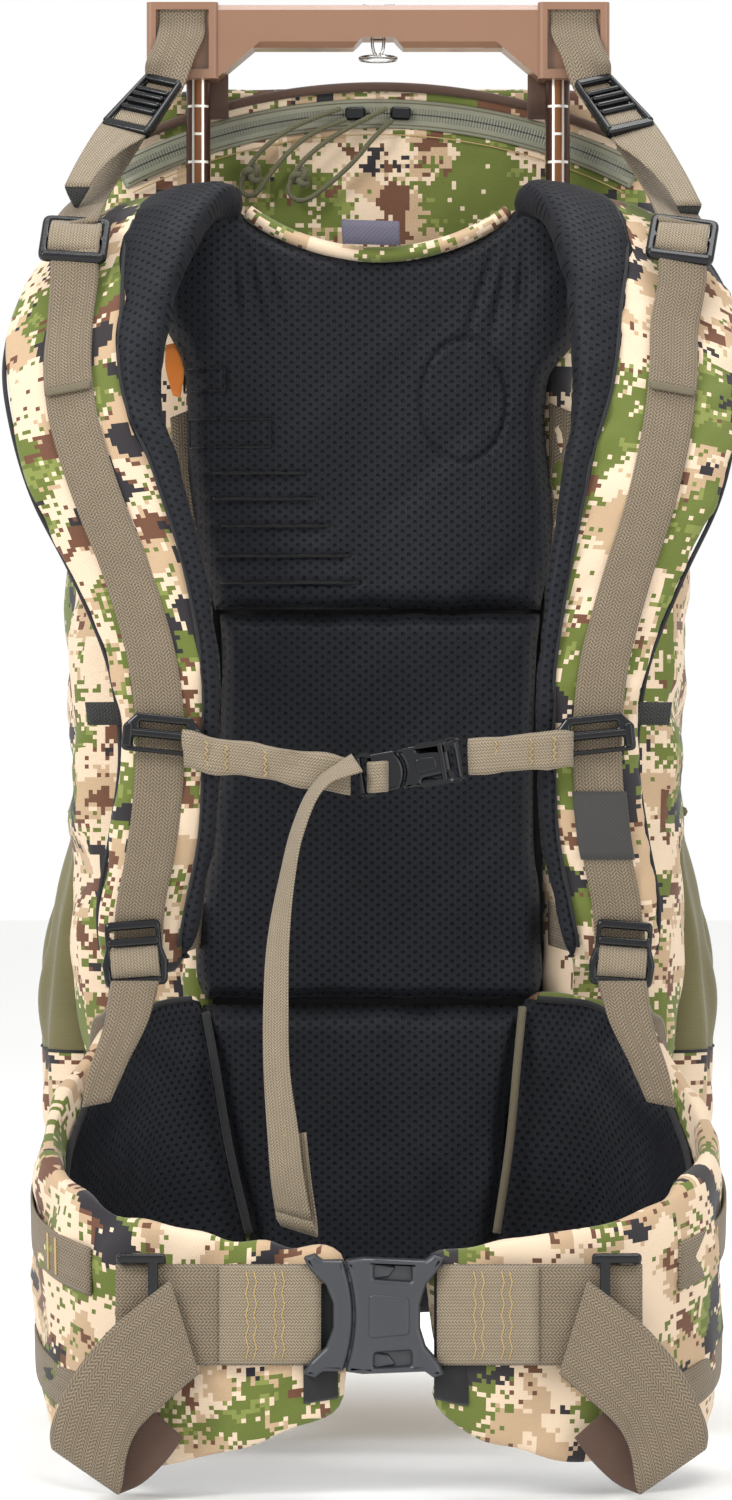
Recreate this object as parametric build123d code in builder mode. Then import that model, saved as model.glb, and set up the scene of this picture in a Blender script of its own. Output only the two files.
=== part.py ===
"""A hunting backpack on a telescoping stay frame, as an assembly of separate parts.

Millimetres, +Z up. The wearer's side, with the harness, faces -Y and the bag lies towards +Y.
The origin is under the middle of the whole pack, at the height of its lowest hanging strap.
"""
from build123d import *
from math import cos, pi, radians, sin, tan
import os

os.makedirs("parts", exist_ok=True)

# ---- driving dimensions -------------------------------------------------------------------
SIDES = (("left", -1), ("right", 1))
FRAME_Y = -40.0            # depth of the two stays
STAY_X = 97.0              # half the distance between the stays
TUBE_R = 6.5
TUBE_WALL = 1.3
SLEEVE_R = 8.0
RUNNING_GAP = 0.05

BEAM_TOP = 774.0
BEAM_LOW = 751.0
BEAM_DEPTH = 24.0
HOUSING_LOW = 734.0
HOUSING_TOP = 775.0
HOUSING_IN = 86.0          # where each end housing starts, from the middle
HOUSING_OUT = 124.5
HOUSING_DEPTH = 28.0
SOCKET_TOP = 750.0

BAG_FRONT = -18.0          # the bag's flat face behind the frame
ZIP_CENTRE_Z = 410.0       # centre of the zipper's arc
ZIP_R = 309.0
ZIP_HALF_ANGLE = 23.5

WEB = 1.6                  # thickness of the harness webbing
WEB_1_INCH = 25.4
WEB_2_INCH = 50.8
WEB_STERNUM = 19.0
CORD = 2.8                 # diameter of the zip pulls' cord

PAD_BACK = -49.0           # back face of the pads that lie on the frame
PAD_FRONT = -70.0
LUMBAR_FRONT = -82.0


def finish(builder, name):
    """Label one finished sub-part and write it."""
    builder.part.label = name
    export_step(builder.part, f"parts/{name}.step")


def unit(vector):
    return Vector(vector).normalized()


def strip_frames(edges):
    """The section planes of a strip whose two edges pass through the given pairs of points.

    Each frame is (plane, width, outward normal); the plane's X runs across the strip.
    """
    middles = [(Vector(a) + Vector(b)) * 0.5 for a, b in edges]
    frames = []
    for i, (a, b) in enumerate(edges):
        across = unit(Vector(b) - Vector(a))
        along = middles[min(i + 1, len(edges) - 1)] - middles[max(i - 1, 0)]
        along = unit(along - across * along.dot(across))
        plane = Plane(origin=middles[i], x_dir=across, z_dir=along)
        frames.append((plane, (Vector(b) - Vector(a)).length, along.cross(across)))
    return frames


def strip(name, edges, thickness, rounding=0.0):
    """A flat strap or pad lofted through pairs of edge points."""
    with BuildPart() as part:
        for plane, width, _ in strip_frames(edges):
            with BuildSketch(plane):
                if rounding:
                    RectangleRounded(width, thickness, rounding * thickness)
                else:
                    Rectangle(width, thickness)
        loft(ruled=True)
    finish(part, name)


def mirrored(point, sign):
    """A point of the right side, kept (+1) or moved to the left (-1)."""
    return (sign * point[0], point[1], point[2])


def sided(pairs, sign):
    """Pairs of edge points of the right side, kept (+1) or moved to the left (-1)."""
    return [tuple(mirrored(point, sign) for point in pair) for pair in pairs]


def slab(name, outline, front, back, rounding):
    """A pad of even thickness with the given outline in front view, its edges rounded."""
    with BuildPart() as part:
        with BuildSketch(Plane.XZ.offset(-back)) as face:
            with BuildLine():
                Polyline(*outline, close=True)
            make_face()
            fillet(face.vertices(), radius=rounding)
        extrude(amount=back - front)
        fillet(part.faces().sort_by(Axis.Y)[0].edges(), radius=(back - front) * 0.3)
    finish(part, name)


def both_halves(points):
    """A front-view outline from its right half, listed from the middle round to the middle."""
    return points + [(-x, z) for x, z in reversed(points) if x]


# ---- crossbar, stays and frame ------------------------------------------------------------
GUSSET_IN = 67.0
NOTCH_LOW = 13.5
NOTCH_HIGH = 8.5
NOTCH_RISE = 5.5
SLOT_FROM = 91.0           # the housing's webbing slot, from the middle
SLOT_TO = 119.5
SLOT_FLOOR = -49.8         # depth of the slot's back wall
LIP_BACK = -52.2
LEDGE_TO = 103.0           # the ledge under the slot's inner half ends here
LEDGE_TOP = 739.0
TOP_BAR = 4.0              # height of the bar that the webbing loops over
HANGER_HOLE_R = 4.4

with BuildPart() as crossbar:
    with BuildSketch(Plane.XZ.offset(-FRAME_Y - BEAM_DEPTH / 2)):
        with BuildLine():
            Polyline(
                *both_halves(
                    [
                        (NOTCH_HIGH, BEAM_LOW + NOTCH_RISE),
                        (NOTCH_LOW, BEAM_LOW),
                        (GUSSET_IN, BEAM_LOW),
                        (HOUSING_IN, HOUSING_LOW + 1),
                        (HOUSING_IN + 1, HOUSING_LOW + 1),
                        (HOUSING_IN + 1, BEAM_TOP),
                    ]
                ),
                close=True,
            )
        make_face()
    extrude(amount=BEAM_DEPTH)
    for edge_z in (BEAM_TOP, BEAM_LOW):
        long_edges = crossbar.edges().filter_by(Axis.X).filter_by_position(Axis.Z, edge_z - 0.1, edge_z + 0.1)
        chamfer(long_edges, length=3.0)
    for _, sign in SIDES:
        middle = sign * (HOUSING_IN + HOUSING_OUT) / 2
        with BuildSketch(Plane.XY.offset(HOUSING_LOW)):
            with Locations((middle, FRAME_Y)):
                RectangleRounded(HOUSING_OUT - HOUSING_IN, HOUSING_DEPTH, 3.0)
        extrude(amount=HOUSING_TOP - HOUSING_LOW)
        slot_x = sign * (SLOT_FROM + SLOT_TO) / 2
        slot_w = SLOT_TO - SLOT_FROM
        front = FRAME_Y - HOUSING_DEPTH / 2
        back = FRAME_Y + HOUSING_DEPTH / 2
        for low, slot_in in ((HOUSING_LOW, LEDGE_TO), (LEDGE_TOP, SLOT_FROM)):
            with BuildSketch(Plane.XY.offset(low)):
                with Locations((sign * (slot_in + SLOT_TO) / 2, (front + SLOT_FLOOR) / 2)):
                    Rectangle(SLOT_TO - slot_in, SLOT_FLOOR - front)
            extrude(amount=HOUSING_TOP - TOP_BAR - low, mode=Mode.SUBTRACT)
        for depth, near, far in ((TOP_BAR, LIP_BACK, SLOT_FLOOR), (TOP_BAR / 2, SLOT_FLOOR, back)):
            with BuildSketch(Plane.XY.offset(HOUSING_TOP - depth)):
                with Locations((slot_x, (near + far) / 2)):
                    Rectangle(slot_w, far - near)
            extrude(amount=depth, mode=Mode.SUBTRACT)
        with BuildSketch(Plane.XY.offset(HOUSING_LOW)):
            with Locations((sign * STAY_X, FRAME_Y)):
                Circle(TUBE_R)
        extrude(amount=SOCKET_TOP - HOUSING_LOW, mode=Mode.SUBTRACT)
    with BuildSketch(Plane.XY.offset(BEAM_LOW)):
        with Locations((0, FRAME_Y)):
            Circle(HANGER_HOLE_R)
    extrude(amount=BEAM_TOP - BEAM_LOW + 1, mode=Mode.SUBTRACT)
finish(crossbar, "crossbar")

# A steel wire bail through the crossbar, splayed on top, with a ring on its lower bend.
WIRE_R = 0.9
LEG_X = 2.9
BAIL_LOW = 747.5
BAIL_TOP = BEAM_TOP + 1.4
SPLAY = 6.0
RING_R = 9.6
RING_WIRE = 0.8
RING_TILT = 15.0           # the ring's near side hangs this much lower
ring_y = FRAME_Y - RING_R * cos(radians(RING_TILT))
ring_z = BAIL_LOW - RING_R * sin(radians(RING_TILT))
with BuildPart() as hanger:
    for sign in (-1, 1):
        with BuildSketch(Plane.XY.offset(BAIL_LOW)):
            with Locations((sign * LEG_X, FRAME_Y)):
                Circle(WIRE_R)
        extrude(amount=BAIL_TOP - BAIL_LOW)
        with BuildSketch(Plane.YZ.offset(sign * (LEG_X - WIRE_R))):
            with Locations((FRAME_Y, BAIL_TOP)):
                Circle(WIRE_R)
        extrude(amount=sign * SPLAY)
    with BuildSketch(Plane.YZ.offset(-LEG_X)):
        with Locations((FRAME_Y, BAIL_LOW)):
            Circle(WIRE_R)
    extrude(amount=2 * LEG_X)
    tilted = (0, -sin(radians(RING_TILT)), cos(radians(RING_TILT)))
    with BuildSketch(Plane((0, ring_y, ring_z), x_dir=(1, 0, 0), z_dir=tilted)):
        Circle(RING_R + RING_WIRE)
        Circle(RING_R - RING_WIRE, mode=Mode.SUBTRACT)
    extrude(amount=RING_WIRE, both=True)
finish(hanger, "hanger")

TUBE_LOW = 430.0
SLEEVE_LOW = 212.0
SLEEVE_TOP = 648.0
for side, sign in SIDES:
    with BuildPart() as tube:
        with BuildSketch(Plane.XY.offset(TUBE_LOW)):
            with Locations((sign * STAY_X, FRAME_Y)):
                Circle(TUBE_R)
                Circle(TUBE_R - TUBE_WALL, mode=Mode.SUBTRACT)
        extrude(amount=SOCKET_TOP - TUBE_LOW)
    finish(tube, f"stay_tube_{side}")

    with BuildPart() as sleeve:
        with BuildSketch(Plane.XY.offset(SLEEVE_LOW)):
            with Locations((sign * STAY_X, FRAME_Y)):
                Circle(SLEEVE_R)
                Circle(TUBE_R + RUNNING_GAP, mode=Mode.SUBTRACT)
        extrude(amount=SLEEVE_TOP - SLEEVE_LOW)
    finish(sleeve, f"stay_sleeve_{side}")

CROSSMEMBER_HALF = 112.0
CROSSMEMBER_HEIGHT = 12.0
with BuildPart() as crossmember:
    with BuildSketch(Plane.XY.offset(SLEEVE_LOW - CROSSMEMBER_HEIGHT)):
        with Locations((0, FRAME_Y)):
            RectangleRounded(2 * CROSSMEMBER_HALF, 2 * SLEEVE_R, 5.0)
    extrude(amount=CROSSMEMBER_HEIGHT)
finish(crossmember, "lower_crossmember")

SHEET_FRONT = -31.0
SHEET_THICK = 2.0
with BuildPart() as frame_sheet:
    with BuildSketch(Plane.XZ.offset(-SHEET_FRONT)):
        with Locations((0, 425)):
            RectangleRounded(200, 420, 18)
    extrude(amount=-SHEET_THICK)
finish(frame_sheet, "frame_sheet")

# ---- webbing and buckles that hang from the crossbar --------------------------------------
LOOP_X = (SLOT_FROM + SLOT_TO) / 2
LOOP_FRONT = -51.0
LOOP_BACK = -24.8
LOOP_TOP = 774.2
HANGER_STRAP_X = 87.0
LIFTER_MID = (128.0, -67.0, 718.0)
LIFTER_DOWN = (0.79, -0.16, -0.59)      # from the buckle's upper end to its lower end
LIFTER_SIZE = (28.0, 44.0, 9.0)
TRIGLIDE_MID = (159.0, -129.0, 640.0)
TRIGLIDE_FACE = (0.0, -0.82, 0.57)
TRIGLIDE_SIZE = (36.0, 28.0, 4.0)


def ribbon(points, thickness):
    """The closed outline of a folded band whose centreline turns only in square corners."""
    half = thickness / 2
    left, right = [], []
    for i, (a, b) in enumerate(points):
        before = points[i - 1] if i else None
        after = points[i + 1] if i + 1 < len(points) else None
        turns = []
        if before:
            turns.append(unit((a - before[0], b - before[1], 0)))
        if after:
            turns.append(unit((after[0] - a, after[1] - b, 0)))
        normals = [Vector(-t.Y, t.X, 0) for t in turns]
        offset_by = sum(normals, Vector(0, 0, 0)) if len(normals) == 2 else normals[0]
        left.append((a + half * offset_by.X, b + half * offset_by.Y))
        right.append((a - half * offset_by.X, b - half * offset_by.Y))
    return left + right[::-1]


def slotted_plate(name, plane, size, slots, slot_height, rounding=4.0):
    """A flat webbing fitting: a rounded plate with crosswise slots at the given heights."""
    width, height, thickness = size
    with BuildPart() as plate:
        with BuildSketch(plane):
            RectangleRounded(width, height, rounding)
            for slot in slots:
                with Locations((0, slot)):
                    RectangleRounded(width - 8.0, slot_height, 1.0, mode=Mode.SUBTRACT)
        extrude(amount=thickness / 2, both=True)
        outer = plate.faces().sort_by(Axis.Y)
        chamfer(outer[0].outer_wire().edges(), length=thickness * 0.2)
    finish(plate, name)


for side, sign in SIDES:
    with BuildPart() as loop:
        with BuildSketch(Plane.YZ.offset(sign * LOOP_X - WEB_1_INCH / 2)):
            with BuildLine():
                Polyline(
                    *ribbon(
                        [
                            (LOOP_FRONT, LEDGE_TOP + 1),
                            (LOOP_FRONT, LOOP_TOP),
                            (LOOP_BACK, LOOP_TOP),
                            (LOOP_BACK, LEDGE_TOP + 5),
                        ],
                        WEB,
                    ),
                    close=True,
                )
            make_face()
        extrude(amount=WEB_1_INCH)
    finish(loop, f"lifter_loop_{side}")

    down = unit(mirrored(LIFTER_DOWN, sign))
    across = unit(down.cross(Vector(0, -1, 0)))
    buckle_plane = Plane(origin=mirrored(LIFTER_MID, sign), x_dir=across, z_dir=across.cross(down))
    slotted_plate(f"lifter_buckle_{side}", buckle_plane, LIFTER_SIZE, (-14.0, 0.0, 14.0), 3.8, rounding=5.0)

    strip(
        f"lifter_tail_{side}",
        sided(
            [
                ((139.0, -83.0, 719.0), (159.0, -79.0, 700.0)),
                ((144.0, -98.0, 700.0), (166.0, -94.0, 684.0)),
                ((149.0, -113.0, 676.0), (172.0, -109.0, 670.0)),
            ],
            sign,
        ),
        2 * WEB,
    )

    with BuildPart() as bag_hanger:
        with BuildSketch(Plane.XY.offset(706.0)):
            with Locations((sign * HANGER_STRAP_X, -30.6)):
                Rectangle(12.0, WEB)
        extrude(amount=HOUSING_LOW - 706.0)
    finish(bag_hanger, f"bag_hanger_{side}")

# ---- bag ----------------------------------------------------------------------------------
# Horizontal sections: height, half width, depth; the front face is one flat plane.
BAG_SECTIONS = (
    (68.0, 118.0, 180.0),
    (100.0, 146.0, 230.0),
    (200.0, 160.0, 256.0),
    (400.0, 166.0, 262.0),
    (560.0, 165.0, 254.0),
    (650.0, 158.0, 232.0),
    (690.0, 150.0, 210.0),
    (715.0, 138.0, 180.0),
    (733.0, 112.0, 146.0),
)
BAG_FRONT_CORNER = 20.0
BAG_BACK_CORNER = 58.0


def bag_at(height):
    """Half width and depth of the bag at a height, between its sections."""
    for (z0, w0, d0), (z1, w1, d1) in zip(BAG_SECTIONS, BAG_SECTIONS[1:]):
        if z0 <= height <= z1:
            t = (height - z0) / (z1 - z0)
            return w0 + t * (w1 - w0), d0 + t * (d1 - d0)
    raise ValueError(height)


with BuildPart() as bag:
    for height, half, depth in BAG_SECTIONS:
        with BuildSketch(Plane.XY.offset(height)) as section:
            with Locations((0, BAG_FRONT + depth / 2)):
                Rectangle(2 * half, depth)
            corners = section.vertices().sort_by(Axis.Y)
            fillet(corners[:2], radius=BAG_FRONT_CORNER)
            fillet(section.vertices().sort_by(Axis.Y)[-2:], radius=BAG_BACK_CORNER)
    loft(ruled=True)
finish(bag, "bag_body")

ZIP_TAPE = 16.0
ZIP_TAPE_THICK = 1.3
with BuildPart() as zipper:
    with BuildSketch(Plane.XZ.offset(-BAG_FRONT)):
        with BuildLine():
            edges = [ZIP_R - ZIP_TAPE / 2, ZIP_R + ZIP_TAPE / 2]
            arcs = [
                CenterArc((0, ZIP_CENTRE_Z), radius, 90 - ZIP_HALF_ANGLE, 2 * ZIP_HALF_ANGLE)
                for radius in edges
            ]
            Line(arcs[0] @ 0, arcs[1] @ 0)
            Line(arcs[0] @ 1, arcs[1] @ 1)
        make_face()
    extrude(amount=ZIP_TAPE_THICK)
finish(zipper, "zipper")

SLIDER_ANGLE = 2.3
SLIDER_FRONT = -24.0
SLIDER_BACK = BAG_FRONT - ZIP_TAPE_THICK - 0.3
for side, sign in SIDES:
    tilt = radians(sign * SLIDER_ANGLE)
    place = (ZIP_R * sin(tilt), SLIDER_BACK, ZIP_CENTRE_Z + ZIP_R * cos(tilt))
    with BuildPart() as slider:
        with BuildSketch(Plane(place, x_dir=(cos(tilt), 0, -sin(tilt)), z_dir=(0, -1, 0))):
            RectangleRounded(11.0, 7.0, 2.0)
        extrude(amount=SLIDER_BACK - SLIDER_FRONT)
        chamfer(slider.faces().sort_by(Axis.Y)[0].edges(), length=1.0)
    finish(slider, f"zip_slider_{side}")

# Cord pulls: each leaves its slider, runs down to its knot, turns back and returns to the slider.
CORD_Y = -26.6
CORD_ROUTES = {
    "left": [(-17, 715), (-30, 711), (-44, 702), (-57, 688), (-67, 672), (-76, 676), (-71, 689), (-59, 703),
             (-41, 714), (-20, 721)],
    "right": [(8, 715), (-2, 706), (-12, 693), (-26, 680), (-41, 669), (-50, 675), (-45, 688), (-33, 700),
              (-16, 711), (5, 721)],
}


def arc_radii(points):
    """For each corner, 0.45 of the shorter run divided by the tangent of half the turn."""
    radii = []
    for before, here, after in zip(points, points[1:], points[2:]):
        first = Vector(here) - Vector(before)
        second = Vector(after) - Vector(here)
        turn = first.get_angle(second)
        radii.append(0.45 * min(first.length, second.length) / tan(radians(turn / 2)))
    return radii


for side, route in CORD_ROUTES.items():
    points = [(x, CORD_Y, z) for x, z in route]
    radii = arc_radii(points)
    with BuildPart() as pull:
        with BuildLine() as path:
            FilletPolyline(*points, radius=radii)
        with BuildSketch(Plane(origin=path.line @ 0, z_dir=path.line % 0)):
            Circle(CORD / 2)
        sweep(path=path.line)
    finish(pull, f"zip_cord_{side}")
    whole = path.wire().length
    share = pull.part.volume / (whole * pi * CORD**2 / 4)
    print("zip cord", side, "length", round(whole, 1), "volume share", round(share, 3))
    print("  radii", [round(r, 1) for r in radii])

# Stretch side pockets, each a closed bulging shape on the bag's side.
POCKET_LEVELS = ((172.0, 4.0), (200.0, 18.0), (270.0, 26.0), (339.0, 20.0))
for side, sign in SIDES:
    with BuildPart() as pocket:
        for height, bulge in POCKET_LEVELS:
            inner = bag_at(height)[0] + 0.8
            with BuildSketch(Plane.XY.offset(height)) as level:
                with Locations((sign * (inner + bulge / 2), 100.0)):
                    Rectangle(bulge, 150.0 + bulge)
        loft(ruled=True)
    finish(pocket, f"side_pocket_{side}")

# The pocket on the bag's far side.
BACK_POCKET_LEVELS = ((150.0, 3.0), (200.0, 12.0), (400.0, 12.0), (520.0, 5.0))
with BuildPart() as back_pocket:
    for height, bulge in BACK_POCKET_LEVELS:
        surface = BAG_FRONT + bag_at(height)[1] + 0.6
        with BuildSketch(Plane.XY.offset(height)) as level:
            with Locations((0, surface + bulge / 2)):
                Rectangle(186.0, bulge)
    loft(ruled=True)
finish(back_pocket, "back_pocket")

# Compression straps round the bag's far side, with the bag's own corners.
STRAP_HEIGHTS = {"upper": 585.0, "lower": 118.0}
STRAP_ENDS_Y = 60.0
for name, height in STRAP_HEIGHTS.items():
    half = max(bag_at(height + dz)[0] for dz in (-10.0, 10.0)) + 0.8
    depth = max(bag_at(height + dz)[1] for dz in (-10.0, 10.0)) + 0.8
    with BuildPart() as strap:
        with BuildSketch(Plane.XY.offset(height - 10.0)):
            for grow, mode in ((WEB, Mode.ADD), (0.0, Mode.SUBTRACT)):
                with BuildLine():
                    FilletPolyline(
                        (-half - grow, STRAP_ENDS_Y),
                        (-half - grow, BAG_FRONT + depth + grow),
                        (half + grow, BAG_FRONT + depth + grow),
                        (half + grow, STRAP_ENDS_Y),
                        radius=BAG_BACK_CORNER + grow,
                    )
                    Line((half + grow, STRAP_ENDS_Y), (-half - grow, STRAP_ENDS_Y))
                make_face(mode=mode)
        extrude(amount=20.0)
    finish(strap, f"compression_strap_{name}")

# ---- pads on the frame --------------------------------------------------------------------
slab(
    "yoke_pad",
    both_halves([(0, 636), (50, 643), (76, 650), (108, 646), (112, 600), (108, 572), (88, 530), (86, 448)]),
    PAD_FRONT,
    PAD_BACK,
    6.0,
)
slab("back_pad", both_halves([(86, 446), (84, 360), (93, 275), (90, 239)]), PAD_FRONT, PAD_BACK, 8.0)
slab("lumbar_pad", both_halves([(88, 236), (88, 100), (66, 72)]), LUMBAR_FRONT, PAD_BACK, 8.0)

# ---- shoulder straps ----------------------------------------------------------------------
# Inner and outer edge of the right strap, from the yoke over the shoulder and down the chest.
STRAP_THICK = 14.0
STRAP_EDGES = [
    ((76, -59, 660), (126, -59, 655)),
    ((76, -75, 667), (140, -75, 656)),
    ((86, -95, 662), (166, -94, 640)),
    ((98, -117, 642), (183, -114, 612)),
    ((110, -137, 606), (189, -132, 580)),
    ((116, -152, 560), (186, -150, 546)),
    ((104, -164, 512), (176, -162, 503)),
    ((92, -170, 466), (156, -168, 460)),
    ((85, -172, 410), (137, -172, 409)),
    ((85, -171, 370), (133, -171, 370)),
    ((87, -166, 330), (138, -166, 330)),
    ((95, -157, 290), (145, -157, 290)),
    ((101, -149, 258), (143, -149, 258)),
]
WEBBING_SHARE = 0.57       # where the webbing's middle lies between the strap's edges
FIRST_ON_STRAP = 4
LOCK_MID = (126.0, -170.0, 268.0)
LOCK_SIZE = (33.0, 34.0, 5.0)


def on_strap(index, sign):
    """The two edges of the webbing where it lies on the strap's outer face."""
    frame = strip_frames(sided(STRAP_EDGES, sign))[index]
    plane, width, normal = frame
    inner, outer = (Vector(p) for p in sided(STRAP_EDGES, sign)[index])
    middle = inner + (outer - inner) * WEBBING_SHARE + normal * sign * (STRAP_THICK / 2 + 0.5 + WEB / 2)
    half = plane.x_dir * (WEB_1_INCH / 2)
    return tuple(middle - half), tuple(middle + half)


for side, sign in SIDES:
    strip(f"shoulder_strap_{side}", sided(STRAP_EDGES, sign), STRAP_THICK, rounding=0.42)
    top = sided([((146, -133, 629), (171, -133, 627))], sign)
    on_pad = [on_strap(i, sign) for i in range(FIRST_ON_STRAP, len(STRAP_EDGES) - 1)]
    strip(f"shoulder_webbing_{side}", top + on_pad, WEB)

    triglide_plane = Plane(origin=mirrored(TRIGLIDE_MID, sign), x_dir=(1, 0, 0), z_dir=TRIGLIDE_FACE)
    slotted_plate(f"triglide_{side}", triglide_plane, TRIGLIDE_SIZE, (-6.0, 6.0), 3.8)

    strip(
        f"lifter_webbing_{side}",
        sided([((146, -121, 657), (171, -121, 654)), ((139, -79, 704), (157, -74, 689))], sign),
        WEB,
    )

    lock_plane = Plane(origin=mirrored(LOCK_MID, sign), x_dir=(1, 0, 0), z_dir=(0, -1, 0))
    slotted_plate(f"ladder_lock_{side}", lock_plane, LOCK_SIZE, (-8.0, 8.0), 3.8)

    strip(
        f"lower_webbing_{side}",
        sided(
            [
                ((114, -168, 249), (139, -168, 249)),
                ((117, -140, 240), (142, -138, 239)),
                ((130, -96, 232), (152, -84, 230)),
                ((143, -52, 208), (157, -34, 206)),
            ],
            sign,
        ),
        WEB,
    )

# ---- sternum strap ------------------------------------------------------------------------
STERNUM_Y = -190.0
SLIDER_MID = (111.0, -185.0, 380.0)
STERNUM_TILT = 10.0
BUCKLE_MID = (16.0, STERNUM_Y, 364.0)
STERNUM_BUCKLE = (56.0, 23.0, 9.0)
tilt_x = (cos(radians(STERNUM_TILT)), 0, sin(radians(STERNUM_TILT)))
sternum_plane = Plane(origin=BUCKLE_MID, x_dir=tilt_x, z_dir=(0, -1, 0))

for side, sign in SIDES:
    slider_plane = Plane(origin=mirrored(SLIDER_MID, sign), x_dir=(1, 0, 0), z_dir=(0, -1, 0))
    slotted_plate(f"sternum_slider_{side}", slider_plane, (41.0, 22.0, 5.0), (-5.0,), 3.8)

with BuildPart() as sternum_left:
    with BuildSketch(Plane.XZ.offset(-STERNUM_Y)):
        with BuildLine():
            Polyline((-100, 383), (-100, 364), (-14.5, 350), (-14.5, 369), close=True)
        make_face()
    extrude(amount=WEB, both=True)
finish(sternum_left, "sternum_webbing_left")

with BuildPart() as sternum_right:
    with BuildSketch(Plane.XZ.offset(-STERNUM_Y)):
        with BuildLine():
            Polyline((46, 379), (46, 360), (100, 364), (100, 383), close=True)
        make_face()
    extrude(amount=WEB, both=True)
finish(sternum_right, "sternum_webbing_right")


def buckle_halves(prefix, plane, size, seam, mouth, depth_of_arms):
    """A side-release buckle in two halves: the socket on +X of the seam and the plug on -X.

    mouth is the socket's inside height and depth. The plug's two arms and its tongue fill it with clearance.
    """
    length, height, thickness = size
    gap = 0.3
    inside, clear = mouth
    with BuildPart() as female:
        with BuildSketch(plane):
            with Locations(((length / 2 + seam) / 2, 0)):
                RectangleRounded(length / 2 - seam, height, height * 0.1)
        extrude(amount=thickness / 2, both=True)
        with BuildSketch(plane):
            with Locations((seam + depth_of_arms / 2, 0)):
                Rectangle(depth_of_arms, inside)
        extrude(amount=clear / 2, both=True, mode=Mode.SUBTRACT)
        for end in (-1, 1):
            with BuildSketch(plane):
                with Locations((seam + depth_of_arms * 0.55, end * height / 2)):
                    Rectangle(depth_of_arms * 0.6, height - inside)
            extrude(amount=clear / 2, both=True, mode=Mode.SUBTRACT)
    finish(female, f"{prefix}_buckle_female")

    arm = inside * 0.2
    reach = depth_of_arms - gap
    with BuildPart() as male:
        with BuildSketch(plane):
            with Locations(((seam - gap - length / 2) / 2, 0)):
                RectangleRounded(length / 2 + seam - gap, height, height * 0.1)
        extrude(amount=thickness / 2, both=True)
        with BuildSketch(plane):
            for offset_z in (-1, 0, 1):
                with Locations((seam + reach / 2 - gap, offset_z * (inside / 2 - gap - arm / 2))):
                    Rectangle(reach, arm)
        extrude(amount=clear / 2 - gap, both=True)
    finish(male, f"{prefix}_buckle_male")


buckle_halves("sternum", sternum_plane, STERNUM_BUCKLE, -6.0, (18.0, 5.0), 22.0)

strip(
    "sternum_tail",
    [
        ((-18, -197, 371), (-8, -199, 358)),
        ((-46, -199, 338), (-38, -201, 322)),
        ((-57, -199, 290), (-46, -203, 287)),
        ((-60, -199, 245), (-48, -204, 244)),
        ((-59, -199, 200), (-45, -204, 200)),
        ((-54, -200, 160), (-38, -206, 162)),
        ((-48, -200, 133), (-31, -206, 138)),
    ],
    2 * WEB,
)

# ---- hip belt -----------------------------------------------------------------------------
# Lower and upper edge of the right wing, from the lumbar pad round to the buckle.
WING_THICK = 14.0
WING_EDGES = [
    ((90, -62, 84), (90, -62, 232)),
    ((125, -70, 74), (128, -68, 222)),
    ((156, -98, 56), (158, -92, 198)),
    ((168, -140, 36), (172, -130, 176)),
    ((160, -185, 18), (164, -176, 156)),
    ((128, -218, 12), (130, -214, 138)),
    ((80, -234, 18), (80, -234, 128)),
    ((40, -238, 34), (40, -238, 122)),
    ((29, -239, 48), (29, -239, 116)),
]
BELT_Y = -250.0
BELT_Z = 90.0
BELT_FROM = 38.5
BELT_TO = 132.0
HIP_BUCKLE = (71.0, 62.0, 11.0)
TAIL_X = 118.0
TAIL_Z = 45.8
TAIL_LENGTH = 78.0
TAIL_Y = -256.2

for side, sign in SIDES:
    strip(f"hip_wing_{side}", sided(WING_EDGES, sign), WING_THICK, rounding=0.42)

    with BuildPart() as belt:
        with BuildSketch(Plane.XZ.offset(-BELT_Y)):
            with Locations((sign * (BELT_FROM + BELT_TO) / 2, BELT_Z)):
                Rectangle(BELT_TO - BELT_FROM, WEB_2_INCH)
        extrude(amount=WEB / 2, both=True)
    finish(belt, f"hip_webbing_{side}")

    with BuildPart() as loop_lock:
        for rail_z in (-1, 1):
            with BuildSketch(Plane.XZ.offset(-BELT_Y)):
                with Locations((sign * 119.0, BELT_Z + rail_z * (WEB_2_INCH / 2 + 3.0))):
                    RectangleRounded(24.0, 4.0, 1.0)
            extrude(amount=4.0, both=True)
        for bar_x in (109.0, 119.0, 129.0):
            with BuildSketch(Plane.XZ.offset(-BELT_Y - 2.6)):
                with Locations((sign * bar_x, BELT_Z)):
                    Rectangle(4.0, WEB_2_INCH + 6.0)
            extrude(amount=-2.2)
    finish(loop_lock, f"loop_lock_{side}")

    fall = unit((sign * 0.52, 0, -0.85))
    with BuildPart() as tail:
        with BuildSketch(Plane(origin=(sign * TAIL_X, TAIL_Y, TAIL_Z), x_dir=fall, z_dir=(0, -1, 0))):
            RectangleRounded(TAIL_LENGTH, WEB_2_INCH, 3.0)
        extrude(amount=WEB, both=True)
    finish(tail, f"hip_tail_{side}")

hip_plane = Plane(origin=(-2.5, BELT_Y - 2.2, BELT_Z), x_dir=(1, 0, 0), z_dir=(0, -1, 0))
buckle_halves("hip", hip_plane, HIP_BUCKLE, -14.0, (50.0, 6.4), 32.0)
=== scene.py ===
# Looks of the hunting backpack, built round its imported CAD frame.
# Metres, +Z up; the harness side faces -Y and the bag lies towards +Y. Numbers in mm() are millimetres.
import math

import bpy
import numpy as np
from mathutils import Matrix, Vector


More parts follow.
